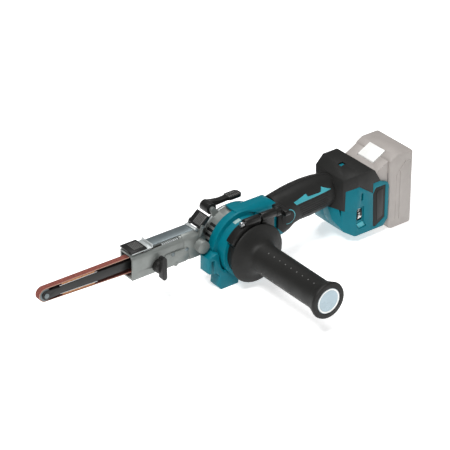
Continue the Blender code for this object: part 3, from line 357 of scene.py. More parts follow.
def combined(piece, other, operation):
    """Boolean of two pieces, after which the other one is gone."""
    apply_modifier(piece, "BOOLEAN", object=other, operation=operation, solver="EXACT")
    bpy.data.objects.remove(other)
    return piece


def copy_of(node, name):
    """A merged copy of a frame node's mesh, with its flat areas whole."""
    source = frame["nodes"][node]
    piece = bpy.data.objects.new(name, source.data.copy())
    bpy.context.scene.collection.objects.link(piece)
    edit_all(piece)
    bpy.ops.mesh.remove_doubles(threshold=0.001 * MM)
    bpy.ops.mesh.dissolve_limited(angle_limit=math.radians(0.6))
    close_edit()
    piece.data.materials.clear()
    return piece


def let_in(name, node, outlines, proud, depth):
    """Pieces with these XZ outlines that follow a node's outer skin and stand proud of it."""
    swollen = copy_of(node, "swollen_skin")
    apply_modifier(swollen, "DISPLACE", strength=proud * MM, mid_level=0.0)
    cut = joined(name, [plate(name, "y", outline, *depth, 0) for outline in outlines])
    combined(cut, swollen, "INTERSECT")
    return smoothed(cut, 30)


def settle(piece, node, finish, stands_for=()):
    """Gives a piece its finish and makes it ride with a frame node's body."""
    piece.data.materials.clear()
    piece.data.materials.append(finish)
    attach(piece, BODY_OF[node])
    if stands_for:
        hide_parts(*stands_for)
    return piece


def refined(node, finish, width, segments=2):
    """A rounded copy of a frame node that stands for it."""
    piece = rounded(copy_of(node, node + "_finished"), width, segments)
    return settle(piece, node, finish, (node,))


def coated(finish, *nodes):
    """Gives frame nodes their finish where their shape stays as it is."""
    for node in nodes:
        frame["nodes"][node].data.materials.clear()
        frame["nodes"][node].data.materials.append(finish)


def arc(centre, radius, start, end, steps):
    points = []
    for i in range(steps + 1):
        angle = math.radians(start + (end - start) * i / steps)
        points.append((centre[0] + radius * math.cos(angle), centre[1] + radius * math.sin(angle)))
    return points


def strip(inner, outer, across):
    """The corners of a strip between two points, this far to each side of them."""
    return [tuple(point) for point in (inner - across, outer - across, outer + across, inner + across)]


# ---------------------------------------------------------------- finishes


def node_in(tree, kind, **settings):
    node = tree.nodes.new(kind)
    for key, value in settings.items():
        setattr(node, key, value)
    return node


def group_with(name, inputs, outputs):
    """A new shader group with its sockets, and its input and output nodes."""
    group = bpy.data.node_groups.new(name, "ShaderNodeTree")
    for label, kind, default in inputs:
        socket = group.interface.new_socket(label, in_out="INPUT", socket_type=kind)
        if default is not None:
            socket.default_value = default
    for label, kind in outputs:
        group.interface.new_socket(label, in_out="OUTPUT", socket_type=kind)
    return group, group.nodes.new("NodeGroupInput"), group.nodes.new("NodeGroupOutput")


def math_node(tree, operation, first, second=None, clamp=False):
    node = node_in(tree, "ShaderNodeMath", operation=operation, use_clamp=clamp)
    for socket, value in zip(node.inputs, (first, second)):
        if isinstance(value, (int, float)):
            socket.default_value = value
        elif value is not None:
            tree.links.new(value, socket)
    return node.outputs[0]


def remapped(tree, value, low, high, start=0.0, end=1.0):
    node = node_in(tree, "ShaderNodeMapRange")
    tree.links.new(value, node.inputs["Value"])
    for key, number in (("From Min", start), ("From Max", end), ("To Min", low), ("To Max", high)):
        node.inputs[key].default_value = number
    return node.outputs["Result"]


def mixed(tree, share, first, second):
    """A colour mixed from two, each a colour or a socket."""
    node = node_in(tree, "ShaderNodeMix", data_type="RGBA")
    if isinstance(share, (int, float)):
        node.inputs["Factor"].default_value = share
    else:
        tree.links.new(share, node.inputs["Factor"])
    for key, value in (("A", first), ("B", second)):
        socket = next(s for s in node.inputs if s.name == key and s.type == "RGBA")
        if isinstance(value, tuple):
            socket.default_value = (*value, 1)
        else:
            tree.links.new(value, socket)
    return next(s for s in node.outputs if s.type == "RGBA")


def noise(tree, vector, scale, detail, roughness=0.5):
    node = node_in(tree, "ShaderNodeTexNoise")
    tree.links.new(vector, node.inputs["Vector"])
    if isinstance(scale, (int, float)):
        node.inputs["Scale"].default_value = scale
    else:
        tree.links.new(scale, node.inputs["Scale"])
    node.inputs["Detail"].default_value = detail
    node.inputs["Roughness"].default_value = roughness
    return node.outputs["Fac"]


def build_grain():
    """Spark-eroded texture of a moulding: fine pits, and broad patches of tone."""
    group, given, out = group_with(
        "Mould Grain",
        (("Vector", "NodeSocketVector", None), ("Scale", "NodeSocketFloat", 2500.0)),
        (("Height", "NodeSocketFloat"), ("Patches", "NodeSocketFloat")),
    )
    fine = noise(group, given.outputs["Vector"], given.outputs["Scale"], 2.0)
    cells = node_in(group, "ShaderNodeTexVoronoi", feature="F1")
    group.links.new(given.outputs["Vector"], cells.inputs["Vector"])
    group.links.new(given.outputs["Scale"], cells.inputs["Scale"])
    height = math_node(group, "MULTIPLY_ADD", cells.outputs["Distance"], 0.6)
    group.links.new(fine, height.node.inputs[2])
    group.links.new(height, out.inputs["Height"])
    broad = noise(group, given.outputs["Vector"], 55.0, 4.0, 0.6)
    group.links.new(remapped(group, broad, 0.0, 1.0, 0.3, 0.7), out.inputs["Patches"])
    return group


def build_edge_wear_and_highlight():
    """Mask of the edges that hands and benches rub, broken up so that it isn't a line; the lighter colour
    laid on it is partly wear and partly a painted highlight along the edges.
    """
    group, given, out = group_with(
        "Edge Wear And Painted Highlight",
        (
            ("Vector", "NodeSocketVector", None),
            ("Width", "NodeSocketFloat", 0.0005),
            ("Amount", "NodeSocketFloat", 0.5),
        ),
        (("Mask", "NodeSocketFloat"),),
    )
    soft = node_in(group, "ShaderNodeBevel", samples=6)
    group.links.new(given.outputs["Width"], soft.inputs["Radius"])
    plain = node_in(group, "ShaderNodeNewGeometry")
    facing = node_in(group, "ShaderNodeVectorMath", operation="DOT_PRODUCT")
    group.links.new(soft.outputs["Normal"], facing.inputs[0])
    group.links.new(plain.outputs["Normal"], facing.inputs[1])
    edge = remapped(group, facing.outputs["Value"], 1.0, 0.0, 0.80, 0.985)
    broken = remapped(group, noise(group, given.outputs["Vector"], 320.0, 5.0, 0.65), 0.0, 1.0, 0.38, 0.62)
    worn_and_lit_edge = math_node(group, "MULTIPLY", edge, broken)
    group.links.new(math_node(group, "MULTIPLY", worn_and_lit_edge, given.outputs["Amount"], True), out.inputs["Mask"])
    return group


def build_handling():
    """Smudges and fine scratches from use."""
    group, given, out = group_with(
        "Handling Marks",
        (("Vector", "NodeSocketVector", None), ("Scale", "NodeSocketFloat", 40.0)),
        (("Smudge", "NodeSocketFloat"), ("Scratch", "NodeSocketFloat")),
    )
    smudge = noise(group, given.outputs["Vector"], given.outputs["Scale"], 5.0, 0.62)
    group.links.new(remapped(group, smudge, 0.0, 1.0, 0.32, 0.68), out.inputs["Smudge"])
    stretch = node_in(group, "ShaderNodeMapping")
    stretch.inputs["Scale"].default_value = (18.0, 160.0, 900.0)
    stretch.inputs["Rotation"].default_value = (0.5, 0.3, 0.9)
    group.links.new(given.outputs["Vector"], stretch.inputs["Vector"])
    lines = noise(group, stretch.outputs["Vector"], 1.0, 2.0)
    group.links.new(remapped(group, lines, 0.0, 1.0, 0.66, 0.72), out.inputs["Scratch"])
    return group


def build_brushing():
    """Fine parallel lines left by machining or brushing."""
    group, given, out = group_with(
        "Tool Lines",
        (("Vector", "NodeSocketVector", None), ("Stretch", "NodeSocketVector", (60.0, 2500.0, 2500.0))),
        (("Height", "NodeSocketFloat"), ("Tone", "NodeSocketFloat")),
    )
    scaled = node_in(group, "ShaderNodeVectorMath", operation="MULTIPLY")
    group.links.new(given.outputs["Vector"], scaled.inputs[0])
    group.links.new(given.outputs["Stretch"], scaled.inputs[1])
    lines = noise(group, scaled.outputs["Vector"], 1.0, 3.0)
    group.links.new(lines, out.inputs["Height"])
    group.links.new(remapped(group, lines, 0.0, 1.0, 0.35, 0.65), out.inputs["Tone"])
    return group


GROUP_BUILDERS = {
    "Mould Grain": build_grain,
    "Edge Wear And Painted Highlight": build_edge_wear_and_highlight,
    "Handling Marks": build_handling,
    "Tool Lines": build_brushing,
}


class Finish:
    """A material being made: its tree, its shader and the coordinates that its patterns read."""

    def __init__(self, name, roughness, metallic=0.0):
        self.material = bpy.data.materials.new(name)
        self.material.use_nodes = True
        self.tree = self.material.node_tree
        self.shader = self.tree.nodes["Principled BSDF"]
        self.shader.inputs["Roughness"].default_value = roughness
        self.shader.inputs["Metallic"].default_value = metallic
        self.at = node_in(self.tree, "ShaderNodeTexCoord").outputs["Object"]

    def group(self, name, **values):
        tree = bpy.data.node_groups.get(name) or GROUP_BUILDERS[name]()
        node = node_in(self.tree, "ShaderNodeGroup", node_tree=tree)
        self.tree.links.new(self.at, node.inputs["Vector"])
        for key, value in values.items():
            node.inputs[key].default_value = value
        return node.outputs

    def link(self, value, socket):
        self.tree.links.new(value, self.shader.inputs[socket])

    def bump(self, height, depth, strength):
        node = node_in(self.tree, "ShaderNodeBump")
        node.inputs["Strength"].default_value = strength
        node.inputs["Distance"].default_value = depth * MM
        self.tree.links.new(height, node.inputs["Height"])
        self.link(node.outputs["Normal"], "Normal")


def shade(colour, factor):
    return tuple(min(1.0, channel * factor) for channel in colour)


def moulded(name, colour, roughness, grain, depth, wear_and_highlight_amount=0.35, worn_and_lit_edge=None, specular=0.5):
    """Moulded plastic or rubber: spark texture, broad tone, lighter edges that are partly rubbed wear and
    partly painted highlight, and smudges.
    """
    colour = tuple(colour)
    made = Finish(name, roughness)
    made.shader.inputs["Specular IOR Level"].default_value = specular
    texture = made.group("Mould Grain", Scale=grain)
    edges = made.group("Edge Wear And Painted Highlight", Width=0.6 * MM, Amount=wear_and_highlight_amount)
    marks = made.group("Handling Marks", Scale=38.0)
    tone = mixed(made.tree, texture["Patches"], shade(colour, 0.94), shade(colour, 1.05))
    # lighter colour along the edges: partly rubbed wear, partly painted highlight
    made.link(mixed(made.tree, edges["Mask"], tone, worn_and_lit_edge or shade(colour, 2.2)), "Base Color")
    rough = remapped(made.tree, marks["Smudge"], roughness - 0.07, roughness + 0.07)
    polish = math_node(made.tree, "MULTIPLY", marks["Scratch"], 0.08)
    made.link(math_node(made.tree, "SUBTRACT", rough, polish), "Roughness")
    made.bump(texture["Height"], depth, 0.55)
    return made.material


def blasted(name, colour, roughness, metallic):
    """Blasted or coated metal: fine grain, bright edges that are partly rubbed wear and partly painted
    highlight, and a few scratches.
    """
    colour = tuple(colour)
    made = Finish(name, roughness, metallic)
    texture = made.group("Mould Grain", Scale=3200.0)
    edges = made.group("Edge Wear And Painted Highlight", Width=0.7 * MM, Amount=0.5)
    marks = made.group("Handling Marks", Scale=30.0)
    tone = mixed(made.tree, texture["Patches"], shade(colour, 0.88), shade(colour, 1.08))
    share = math_node(made.tree, "MULTIPLY", marks["Scratch"], 0.25)
    scratched = mixed(made.tree, share, tone, shade(colour, 0.7))
    # brighter colour along the edges: partly rubbed wear, partly painted highlight
    made.link(mixed(made.tree, edges["Mask"], scratched, shade(colour, 1.5)), "Base Color")
    made.link(remapped(made.tree, marks["Smudge"], roughness - 0.08, roughness + 0.08), "Roughness")
    made.bump(texture["Height"], 0.02, 0.5)
    return made.material


def machined(name, colour, roughness, stretch=(2500.0, 60.0, 2500.0)):
    """Turned, ground or brushed steel."""
    colour = tuple(colour)
    made = Finish(name, roughness, 1.0)
    lines = made.group("Tool Lines", Stretch=stretch)
    marks = made.group("Handling Marks", Scale=60.0)
    made.link(mixed(made.tree, lines["Tone"], shade(colour, 0.8), shade(colour, 1.1)), "Base Color")
    made.link(remapped(made.tree, marks["Smudge"], roughness - 0.06, roughness + 0.1), "Roughness")
    made.bump(lines["Height"], 0.01, 0.4)
    return made.material


def grit_cloth(name, colour):
    """Cloth belt with close-set grit, paler along its two cut edges."""
    colour = tuple(colour)
    made = Finish(name, 0.86)
    texture = made.group("Mould Grain", Scale=1500.0)
    grains = node_in(made.tree, "ShaderNodeTexVoronoi", feature="F1")
    grains.inputs["Scale"].default_value = 1150.0
    made.tree.links.new(made.at, grains.inputs["Vector"])
    speck = remapped(made.tree, grains.outputs["Distance"], 1.0, 0.0, 0.1, 0.55)
    tone = mixed(made.tree, speck, shade(colour, 0.62), shade(colour, 1.7))
    split = node_in(made.tree, "ShaderNodeSeparateXYZ")
    made.tree.links.new(made.at, split.inputs["Vector"])
    middle = place(0, BELT_Y, 0).y
    off = math_node(made.tree, "ABSOLUTE", math_node(made.tree, "SUBTRACT", split.outputs["Y"], middle))
    cut = remapped(made.tree, off, 0.0, 1.0, BELT_EDGE[0] * MM, BELT_EDGE[1] * MM)
    made.link(mixed(made.tree, cut, tone, (0.42, 0.25, 0.19)), "Base Color")
    height = math_node(made.tree, "ADD", grains.outputs["Distance"], texture["Height"])
    made.bump(height, 0.12, 0.9)
    return made.material


def cork_face(name):
    """Pressed cork: warm specks of several tones."""
    made = Finish(name, 0.9)
    chips = node_in(made.tree, "ShaderNodeTexVoronoi", feature="F1")
    chips.inputs["Scale"].default_value = 900.0
    made.tree.links.new(made.at, chips.inputs["Vector"])
    parts = node_in(made.tree, "ShaderNodeSeparateColor")
    made.tree.links.new(chips.outputs["Color"], parts.inputs["Color"])
    made.link(mixed(made.tree, parts.outputs["Red"], (0.30, 0.12, 0.045), (0.62, 0.30, 0.12)), "Base Color")
    made.bump(chips.outputs["Distance"], 0.08, 0.7)
    return made.material


def wound_copper(name):
    """Lacquered windings in a laminated stack: fine turns across the axis."""
    made = Finish(name, 0.35, 0.9)
    lines = made.group("Tool Lines", Stretch=(300.0, 2600.0, 300.0))
    made.link(mixed(made.tree, lines["Tone"], (0.30, 0.10, 0.04), (0.70, 0.28, 0.12)), "Base Color")
    made.bump(lines["Height"], 0.1, 0.6)
    return made.material


FINISHES = {}


def finish(name):
    """The material of this name, made when it is first asked for."""
    if name not in FINISHES:
        FINISHES[name] = make_finish(name)
    return FINISHES[name]


def make_finish(name):
    tint = colours()
    makers = {
        # the seventh value of a moulded finish is its edge colour: partly rubbed wear, partly painted
        # highlight
        "teal": lambda: moulded("Teal Housing", tint.teal, 0.38, 2300, 0.03, 0.30, (0.01, 0.34, 0.40), 0.16),
        "inlay": lambda: moulded("Teal Inlay", tint.inlay, 0.36, 2600, 0.02, 0.2, (0.2, 0.6, 0.65)),
        "rubber": lambda: moulded(
            "Grip Rubber", tint.rubber, 0.55, 1900, 0.05, 0.3, (0.06, 0.06, 0.057), 0.25,
        ),
        "black": lambda: moulded(
            "Black Nylon", tint.black, 0.40, 2600, 0.025, 0.35, (0.07, 0.07, 0.068), 0.35,
        ),
        "battery": lambda: moulded("Battery Grey", tint.battery, 0.48, 2400, 0.03, 0.25, (0.66, 0.63, 0.60)),
        "white": lambda: moulded("White Button", tint.white, 0.38, 2600, 0.02, 0.1, (0.93, 0.93, 0.92)),
        "cap": lambda: moulded("Blue-grey Cap", tint.cap, 0.32, 2600, 0.02, 0.1, (0.7, 0.78, 0.82)),
        "label": lambda: moulded("Blank Label", (0.30, 0.44, 0.43), 0.4, 2600, 0.01, 0.1, (0.5, 0.6, 0.6)),
        # ribs and dots: a lighter grey than the black they stand on
        "dot": lambda: moulded("Lighter Grey Ribs", (0.13, 0.13, 0.125), 0.36, 2600, 0.01, 0.1),
        "cell": lambda: moulded("Cell Sleeve", (0.05, 0.16, 0.30), 0.3, 2600, 0.01),
        "board": lambda: moulded("Potted Board", (0.01, 0.07, 0.03), 0.25, 900, 0.1),
        # painted shade: near-black finish of the vent floors, where only shade falls
        "painted_shade": lambda: moulded("Painted Vent Shade", (0.004, 0.004, 0.004), 0.7, 2600, 0.02, 0.0),
        "casting": lambda: blasted("Blasted Casting", tint.casting, 0.42, 0.35),
        # ledge: a lighter copy of the casting, a painted highlight on ledges, teeth and steps that catch the
        # light
        "ledge": lambda: blasted("Casting Painted Highlight", (0.52, 0.55, 0.55), 0.38, 0.45),
        "sheet": lambda: blasted("Coated Sheet", tint.sheet, 0.44, 0.6),
        "steel": lambda: machined("Ground Steel", (0.56, 0.57, 0.58), 0.28),
        "lamination": lambda: machined("Laminated Core", (0.16, 0.17, 0.18), 0.45, (60.0, 3000.0, 60.0)),
        "grit": lambda: grit_cloth("Grit Cloth", tint.grit),
        "cork": lambda: cork_face("Pressed Cork"),
        "copper": lambda: wound_copper("Wound Copper"),
    }
    return makers[name]()


# ---------------------------------------------------------------- pieces


class SANDER_OT_drive(bpy.types.Operator):
    """Finish the motor, the gear train and the belt's drive inside the housings"""

    bl_idname = "sander.drive"
    bl_label = "Motor and Gears"

    def execute(self, context):
        coated(finish("copper"), "stator")
        coated(finish("lamination"), "rotor_core")
        coated(finish("white"), "fan")
        coated(
            finish("steel"), "motor_shaft", "pinion", "motor_bearing_near", "motor_bearing_far",
            "idler_gear_large", "idler_gear_small", "spindle_gear", "spindle", "spindle_bearing_near",
            "spindle_bearing_far", "tension_spring",
        )
        coated(finish("board"), "controller")
        coated(finish("black"), "terminal_block", "switch_body")
        coated(finish("cell"), "cell_pack")
        refined("drive_pulley", finish("rubber"), sizes().small_round)
        return {"FINISHED"}


class SANDER_OT_nose(bpy.types.Operator):
    """Finish the sprung nose bar, its pulley, the pads and the sanding belt"""

    bl_idname = "sander.nose"
    bl_label = "Nose and Belt"

    def execute(self, context):
        small = sizes().small_round
        refined("nose_bar", finish("black"), small)
        refined("idler_pulley", finish("sheet"), small)
        refined("idler_pin", finish("sheet"), small)
        for side in ("upper", "lower"):
            refined(side + "_shoe", finish("steel"), small / 2)
            refined(side + "_pad", finish("cork"), small / 2)
        refined("sanding_belt", finish("grit"), 0.1 * MM, 1)
        return {"FINISHED"}


class SANDER_OT_arm(bpy.types.Operator):
    """Finish the aluminium arm, its top plate, slot rack and screws"""

    bl_idname = "sander.arm"
    bl_label = "Arm"

    def execute(self, context):
        refined("arm_frame", finish("casting"), sizes().casting_round)
        refined("arm_top_plate", finish("sheet"), sizes().small_round)
        refined("arm_screw_front", finish("sheet"), sizes().small_round)
        refined("arm_screw_rear", finish("sheet"), sizes().small_round)
        settle(self.panel(), "arm_frame", finish("casting"))
        settle(self.cheek(), "arm_frame", finish("casting"))
        # the rack and the rear ledge take the casting's painted-highlight copy
        settle(self.rack(), "arm_frame", finish("ledge"))
        settle(self.ledge(), "arm_frame", finish("ledge"))
        return {"FINISHED"}

    def panel(self):
        """Raised panel of the near face with two countersinks, a serrated top edge and a drilled lug."""
        outline = [
            (-116.5, -1.5), (-116.5, 17), (-115, 18.5), (-80, 18.5), (-78.5, 17), (-78.5, 3), (-83, -1.5),
        ]
        made = plate("arm_panel", "y", outline, -1.1, 0.6, 0.35)
        for centre in COUNTERSINKS:
            sink = turned("sink", "y", centre, [(0, -3), (3.5, -3), (3.1, -0.4), (0, -0.4)], 24)
            combined(made, sink, "DIFFERENCE")
        teeth = repeated(
            "panel_teeth", bar("tooth", (-113.6, -112.6), (-1.5, -0.6), (17.0, 19.0), 0.2),
            [(TOOTH_PITCH * k, 0, 0) for k in range(16)],
        )
        lug = plate("panel_lug", "y", arc(LUG_PLACE, 3.1, 0, 345, 20), -1.4, 0.6, 0.3)
        drill = turned("drill", "y", LUG_PLACE, [(0, -3), (1.3, -3), (1.3, -0.2), (0, -0.2)], 16)
        combined(lug, drill, "DIFFERENCE")
        return smoothed(joined("arm_panel", [made, teeth, lug]))

    def cheek(self):
        """Thicker shoulder of the arm's rear, wrapped round its near top edge."""
        wrap = arc((8, 26), 8.9, 88, 180, 12) + [(-0.9, 4), (0.5, 4)] + arc((8, 26), 7.4, 180, 88, 12)
        return plate("arm_cheek", "x", wrap, -86, -62.5, 0.5)

    def rack(self):
        """Rack of fine teeth in the slider's slot."""
        tooth = bar("rack_tooth", (-117.0, -115.6), (3.45, 6.75), (30.5, 33.4), 0.15)
        return repeated("slot_rack", tooth, [(RACK_PITCH * k, 0, 0) for k in range(9)])

    def ledge(self):
        """Step at the rear of the top plate, coloured with a painted highlight."""
        top = ARM_TOP + 1.1
        return bar("rear_ledge", (-65.6, -60.9), (4.2, 25.1), (top, top + 2.0), 0.4)


class SANDER_OT_arm_controls(bpy.types.Operator):
    """Finish the thumb pad, the tension link, the latch, the wing bolt and the lock lever"""

    bl_idname = "sander.arm_controls"
    bl_label = "Arm Controls"

    def execute(self, context):
        small = sizes().small_round
        # the tension link takes the casting's painted-highlight copy
        refined("tension_link", finish("ledge"), small)
        refined("thumb_pad", finish("black"), small)
        refined("rear_latch", finish("black"), small)
        refined("latch_pin", finish("steel"), small)
        refined("wing_bolt", finish("black"), 1.2 * MM, 3)
        refined("lock_lever", finish("black"), 1.0 * MM, 3)
        settle(self.thumb_ribs(), "thumb_pad", finish("dot"))
        settle(self.latch_ribs(), "rear_latch", finish("dot"))
        settle(self.lever_ribs(), "lock_lever", finish("dot"))
        return {"FINISHED"}

    def thumb_ribs(self):
        rib = bar("thumb_rib", (-160, -159), (5, 22), (39.4, 40.3), 0.25)
        return repeated("thumb_ribs", rib, [(THUMB_RIB_PITCH * k, 0, 0) for k in range(7)])

    def latch_ribs(self):
        """Ribs up the slope of the latch, over its near two thirds."""
        x, z = LATCH_PIVOT
        along = Vector((14.5, 12.0)).normalized()
        off = Vector((-along.y, along.x))
        start = Vector((x - 4, z + 1)) + along * 1.6
        corners = (
            start - off * 0.6, start + along * 15.6 - off * 0.6, start + along * 15.4 + off, start + off,
        )
        rib = plate("latch_rib", "y", [tuple(point) for point in corners], 2.4, 3.6, 0.25)
        return repeated("latch_ribs", rib, [(0, LATCH_RIB_PITCH * k, 0) for k in range(6)])

    def lever_ribs(self):
        rib = bar("lever_rib", (9.0, 10.3), (26.6, 31.2), (49.0, 50.0), 0.3)
        steps = [(LEVER_RIB_PITCH * k, across, 0) for k in range(6) for across in LEVER_RIB_ROWS]
        return repeated("lever_ribs", rib, steps)


class SANDER_OT_gear_case(bpy.types.Operator):
    """Finish the ribbed aluminium gear case and its cover"""

    bl_idname = "sander.gear_case"
    bl_label = "Gear Case"

    def execute(self, context):
        refined("gear_case", finish("casting"), sizes().casting_round)
        refined("gear_case_cover", finish("casting"), sizes().casting_round)
        # near-black plates painted as the shade inside the vents
        settle(self.painted_vent_shade(), "gear_case", finish("painted_shade"))
        # the ring step takes the casting's painted-highlight copy
        settle(self.step(), "gear_case", finish("ledge"))
        return {"FINISHED"}

    def painted_vent_shade(self):
        """Painted shade: near-black plates laid as the floors of the five vents beside the hood."""
        floors = []
        for k in range(5):
            angle = VENT_START + VENT_PITCH * k
            out = Vector(arc((0, 0), 1, angle, angle, 1)[0])
            across = Vector((-out.y, out.x)) * VENT_HALF
            inner, outer = out * (RING_R - 2.2), out * (RING_R - 1.0)
            outline = strip(inner, outer, across)
            floors.append(plate("painted_vent_shade_plate", "y", outline, 1.7, 14.4 if k < 4 else 6.6, 0))
        return joined("painted_vent_shade_plates", floors)

    def step(self):
        """Turned step round the far edge of the ring, over its open upper part."""
        outline = arc((0, 0), RING_R + 0.7, 96, 150, 24) + arc((0, 0), RING_R - 1.0, 150, 96, 24)
        return plate("ring_step", "y", outline, 17.6, 19.6, 0.3)


class SANDER_OT_motor_housing(bpy.types.Operator):
    """Finish the teal motor housing and the foot bracket below it"""

    bl_idname = "sander.motor_housing"
    bl_label = "Motor Housing"

    def execute(self, context):
        refined("motor_housing", finish("teal"), sizes().housing_round)
        refined("foot_bracket", finish("teal"), sizes().housing_round)
        settle(self.plain_label(), "motor_housing", finish("label"))
        settle(self.fairing(), "motor_housing", finish("teal"))
        return {"FINISHED"}

    def fairing(self):
        """Crowned fairing that carries the hood's top back to the grip."""
        crest = arc((0, 0), 49.7, 99, 80, 8)
        crest += [(20, 49.3), (32, 50.4), (42, 50.1), (49, 48.0), (54, 43.8), (56, 37)]
        outline = crest + [(50, 30)] + arc((0, 0), 46.0, 40, 99, 16)
        made = plate("hood_fairing", "y", outline, -15.8, 15.4, 0)
        half = [(15.8, 36), (14.6, 42), (11, 46.4), (6, 49.3), (2, 50.5)]
        section = [(-15.8, 10), (15.8, 10)] + half + [(-y, z) for y, z in reversed(half)]
        combined(made, plate("crown", "x", section, -12, 58, 0), "INTERSECT")
        return rounded(made, 0.7 * MM, 2)

    def plain_label(self):
        """Small blank label bent round the drum beside the collar."""
        outline = arc((0, 0), 41.6, 99, 113, 10) + arc((0, 0), 40.4, 113, 99, 10)
        return plate("blank_label", "y", outline, -18.6, -12.9, 0.25)


class SANDER_OT_clamp(bpy.types.Operator):
    """Finish the side handle's clamp, its bolt and its wing knob"""

    bl_idname = "sander.clamp"
    bl_label = "Handle Clamp"

    def execute(self, context):
        refined("clamp_bracket", finish("black"), 0.6 * MM)
        refined("clamp_bolt", finish("steel"), sizes().small_round)
        refined("clamp_knob", finish("black"), 1.0 * MM, 3)
        return {"FINISHED"}


class SANDER_OT_side_handle(bpy.types.Operator):
    """Finish the rubber side handle, its dots and its end cap"""

    bl_idname = "sander.side_handle"
    bl_label = "Side Handle"

    def execute(self, context):
        refined("side_handle", finish("rubber"), 0.6 * MM, 2)
        refined("side_handle_stud", finish("steel"), sizes().small_round)
        refined("side_handle_cap", finish("cap"), sizes().small_round)
        settle(self.dots(), "side_handle", finish("dot"))
        settle(self.cap_ring(), "side_handle_cap", finish("white"))
        return {"FINISHED"}

    def dots(self):
        """Four rows of raised dots along the handle."""
        made = []
        for angle in DOT_ROWS:
            x, z = arc((0, 0), HANDLE_R - DOT_SINK, angle, angle, 1)[0]
            for k in range(DOTS_PER_ROW):
                bpy.ops.object.select_all(action="DESELECT")
                bpy.ops.mesh.primitive_ico_sphere_add(
                    subdivisions=2, radius=sizes().dot_radius,
                    location=place(x, DOT_START - DOT_PITCH * k, z),
                )
                bpy.ops.object.transform_apply(location=True, rotation=True, scale=True)
                made.append(bpy.context.object)
        return smoothed(joined("handle_dots", made), 80)

    def cap_ring(self):
        """White ring round the end cap."""
        end = HANDLE_END
        ring = [(15.0, end + 1.0), (15.3, end + 0.15), (17.0, end + 0.05), (17.2, end + 1.0)]
        return turned("cap_ring", "y", (0, 0), ring, 64)


class SANDER_OT_grip(bpy.types.Operator):
    """Finish the rubber grip, its inlays, ribs and switch lever"""

    bl_idname = "sander.grip"
    bl_label = "Grip"

    def execute(self, context):
        refined("grip_near", finish("rubber"), 0.3 * MM)
        refined("grip_far", finish("rubber"), 0.3 * MM)
        refined("switch_lever", finish("black"), 0.8 * MM, 3)
        for side, depth in (("near", (-45, -4)), ("far", (4, 45))):
            node = "grip_" + side
            inlay = [
                (80.6, 37.4), (101.6, 42.6), (104.1, 38.4), (126, 37.9), (128.6, 44.0), (144.3, 36.4),
                (83.9, 33.2),
            ]
            settle(let_in("inlay_" + side, node, [inlay], 0.25, depth), node, finish("inlay"))
            ribs = let_in("ribs_" + side, node, self.rib_lines(), sizes().rib_height / MM, depth)
            settle(ribs, node, finish("rubber"))
            boss = arc(BOSS_PLACE, 9.6, 0, 345, 30)
            settle(let_in("boss_" + side, node, [boss], 0.9, depth), node, finish("rubber"))
            crescent = arc(BOSS_PLACE, 10.9, 80, -105, 24) + arc(BOSS_PLACE, 9.7, -105, 80, 24)
            settle(let_in("crescent_" + side, node, [crescent], 0.5, depth), node, finish("inlay"))
            corner = [(52.7, 8.4), (65.4, -4.8), (73.8, -6.1), (71.4, -9.2), (62, -8.8), (52, 3)]
            settle(let_in("corner_" + side, node, [corner], 0.3, depth), node, finish("teal"))
        return {"FINISHED"}

    def rib_lines(self):
        """Six fine ribs that fan along the side of the grip."""
        first, last = ((88, 30.2), (142, 32.8)), ((95, 12.0), (137, 15.6))
        lines = []
        half = GRIP_RIB_HALF
        for k in range(GRIP_RIBS):
            share = k / (GRIP_RIBS - 1)
            (x0, z0), (x1, z1) = (
                tuple(a + (b - a) * share for a, b in zip(start, end)) for start, end in zip(first, last)
            )
            under = [(x0, z0 - half), (x1, z1 - half), (x1 + 0.6, z1)]
            over = [(x1, z1 + half), (x0, z0 + half), (x0 - 0.6, z0)]
            lines.append(under + over)
        return lines


class SANDER_OT_rear_housing(bpy.types.Operator):
    """Finish the teal rear housing, its rubber cover, bumpers and speed dial"""

    bl_idname = "sander.rear_housing"
    bl_label = "Rear Housing"

    def execute(self, context):
        for side in ("near", "far"):
            refined("rear_shell_" + side, finish("teal"), 0.6 * MM)
            refined("side_bumper_" + side, finish("rubber"), 0.6 * MM)
        refined("rubber_cover", finish("rubber"), 0.8 * MM)
        refined("speed_dial", finish("black"), sizes().small_round)
        settle(self.dial_marks(), "speed_dial", finish("white"))
        # painted highlight: a lighter teal plate for the lit sill below the dial
        lit = [(175.8, -22), (187.2, -20.5), (191.8, -28.4), (181, -29.4)]
        settle(plate("dial_sill_painted_highlight", "y", lit, -36.3, -35.2, 0.3), "rear_shell_near", finish("inlay"))
        ridge = [(211, -27), (221, -22), (221, 19.5), (212, 19.5), (209.5, 15)]
        for side, low, high in (("near", -38.1, -36.8), ("far", 36.8, 38.1)):
            raised = plate("bumper_ridge_" + side, "y", ridge, low, high, 0.5)
            settle(raised, "side_bumper_" + side, finish("black"))
        return {"FINISHED"}

    def dial_marks(self):
        """White index marks round the dial's rim."""
        marks = []
        for k in range(DIAL_MARKS):
            angle = math.radians(DIAL_MARK_START + DIAL_MARK_PITCH * k)
            out = Vector((math.cos(angle), math.sin(angle)))
            across = Vector((-out.y, out.x)) * (1.5 if k % 4 == 0 else 0.45)
            inner = Vector(DIAL_PLACE) + out * (DIAL_R - 0.6)
            outer = Vector(DIAL_PLACE) + out * (DIAL_R + 0.12)
            outline = strip(inner, outer, across)
            marks.append(plate("dial_mark", "x", outline, 178.6, 184.2 if k % 4 == 0 else 181.6, 0))
        return joined("dial_marks", marks)


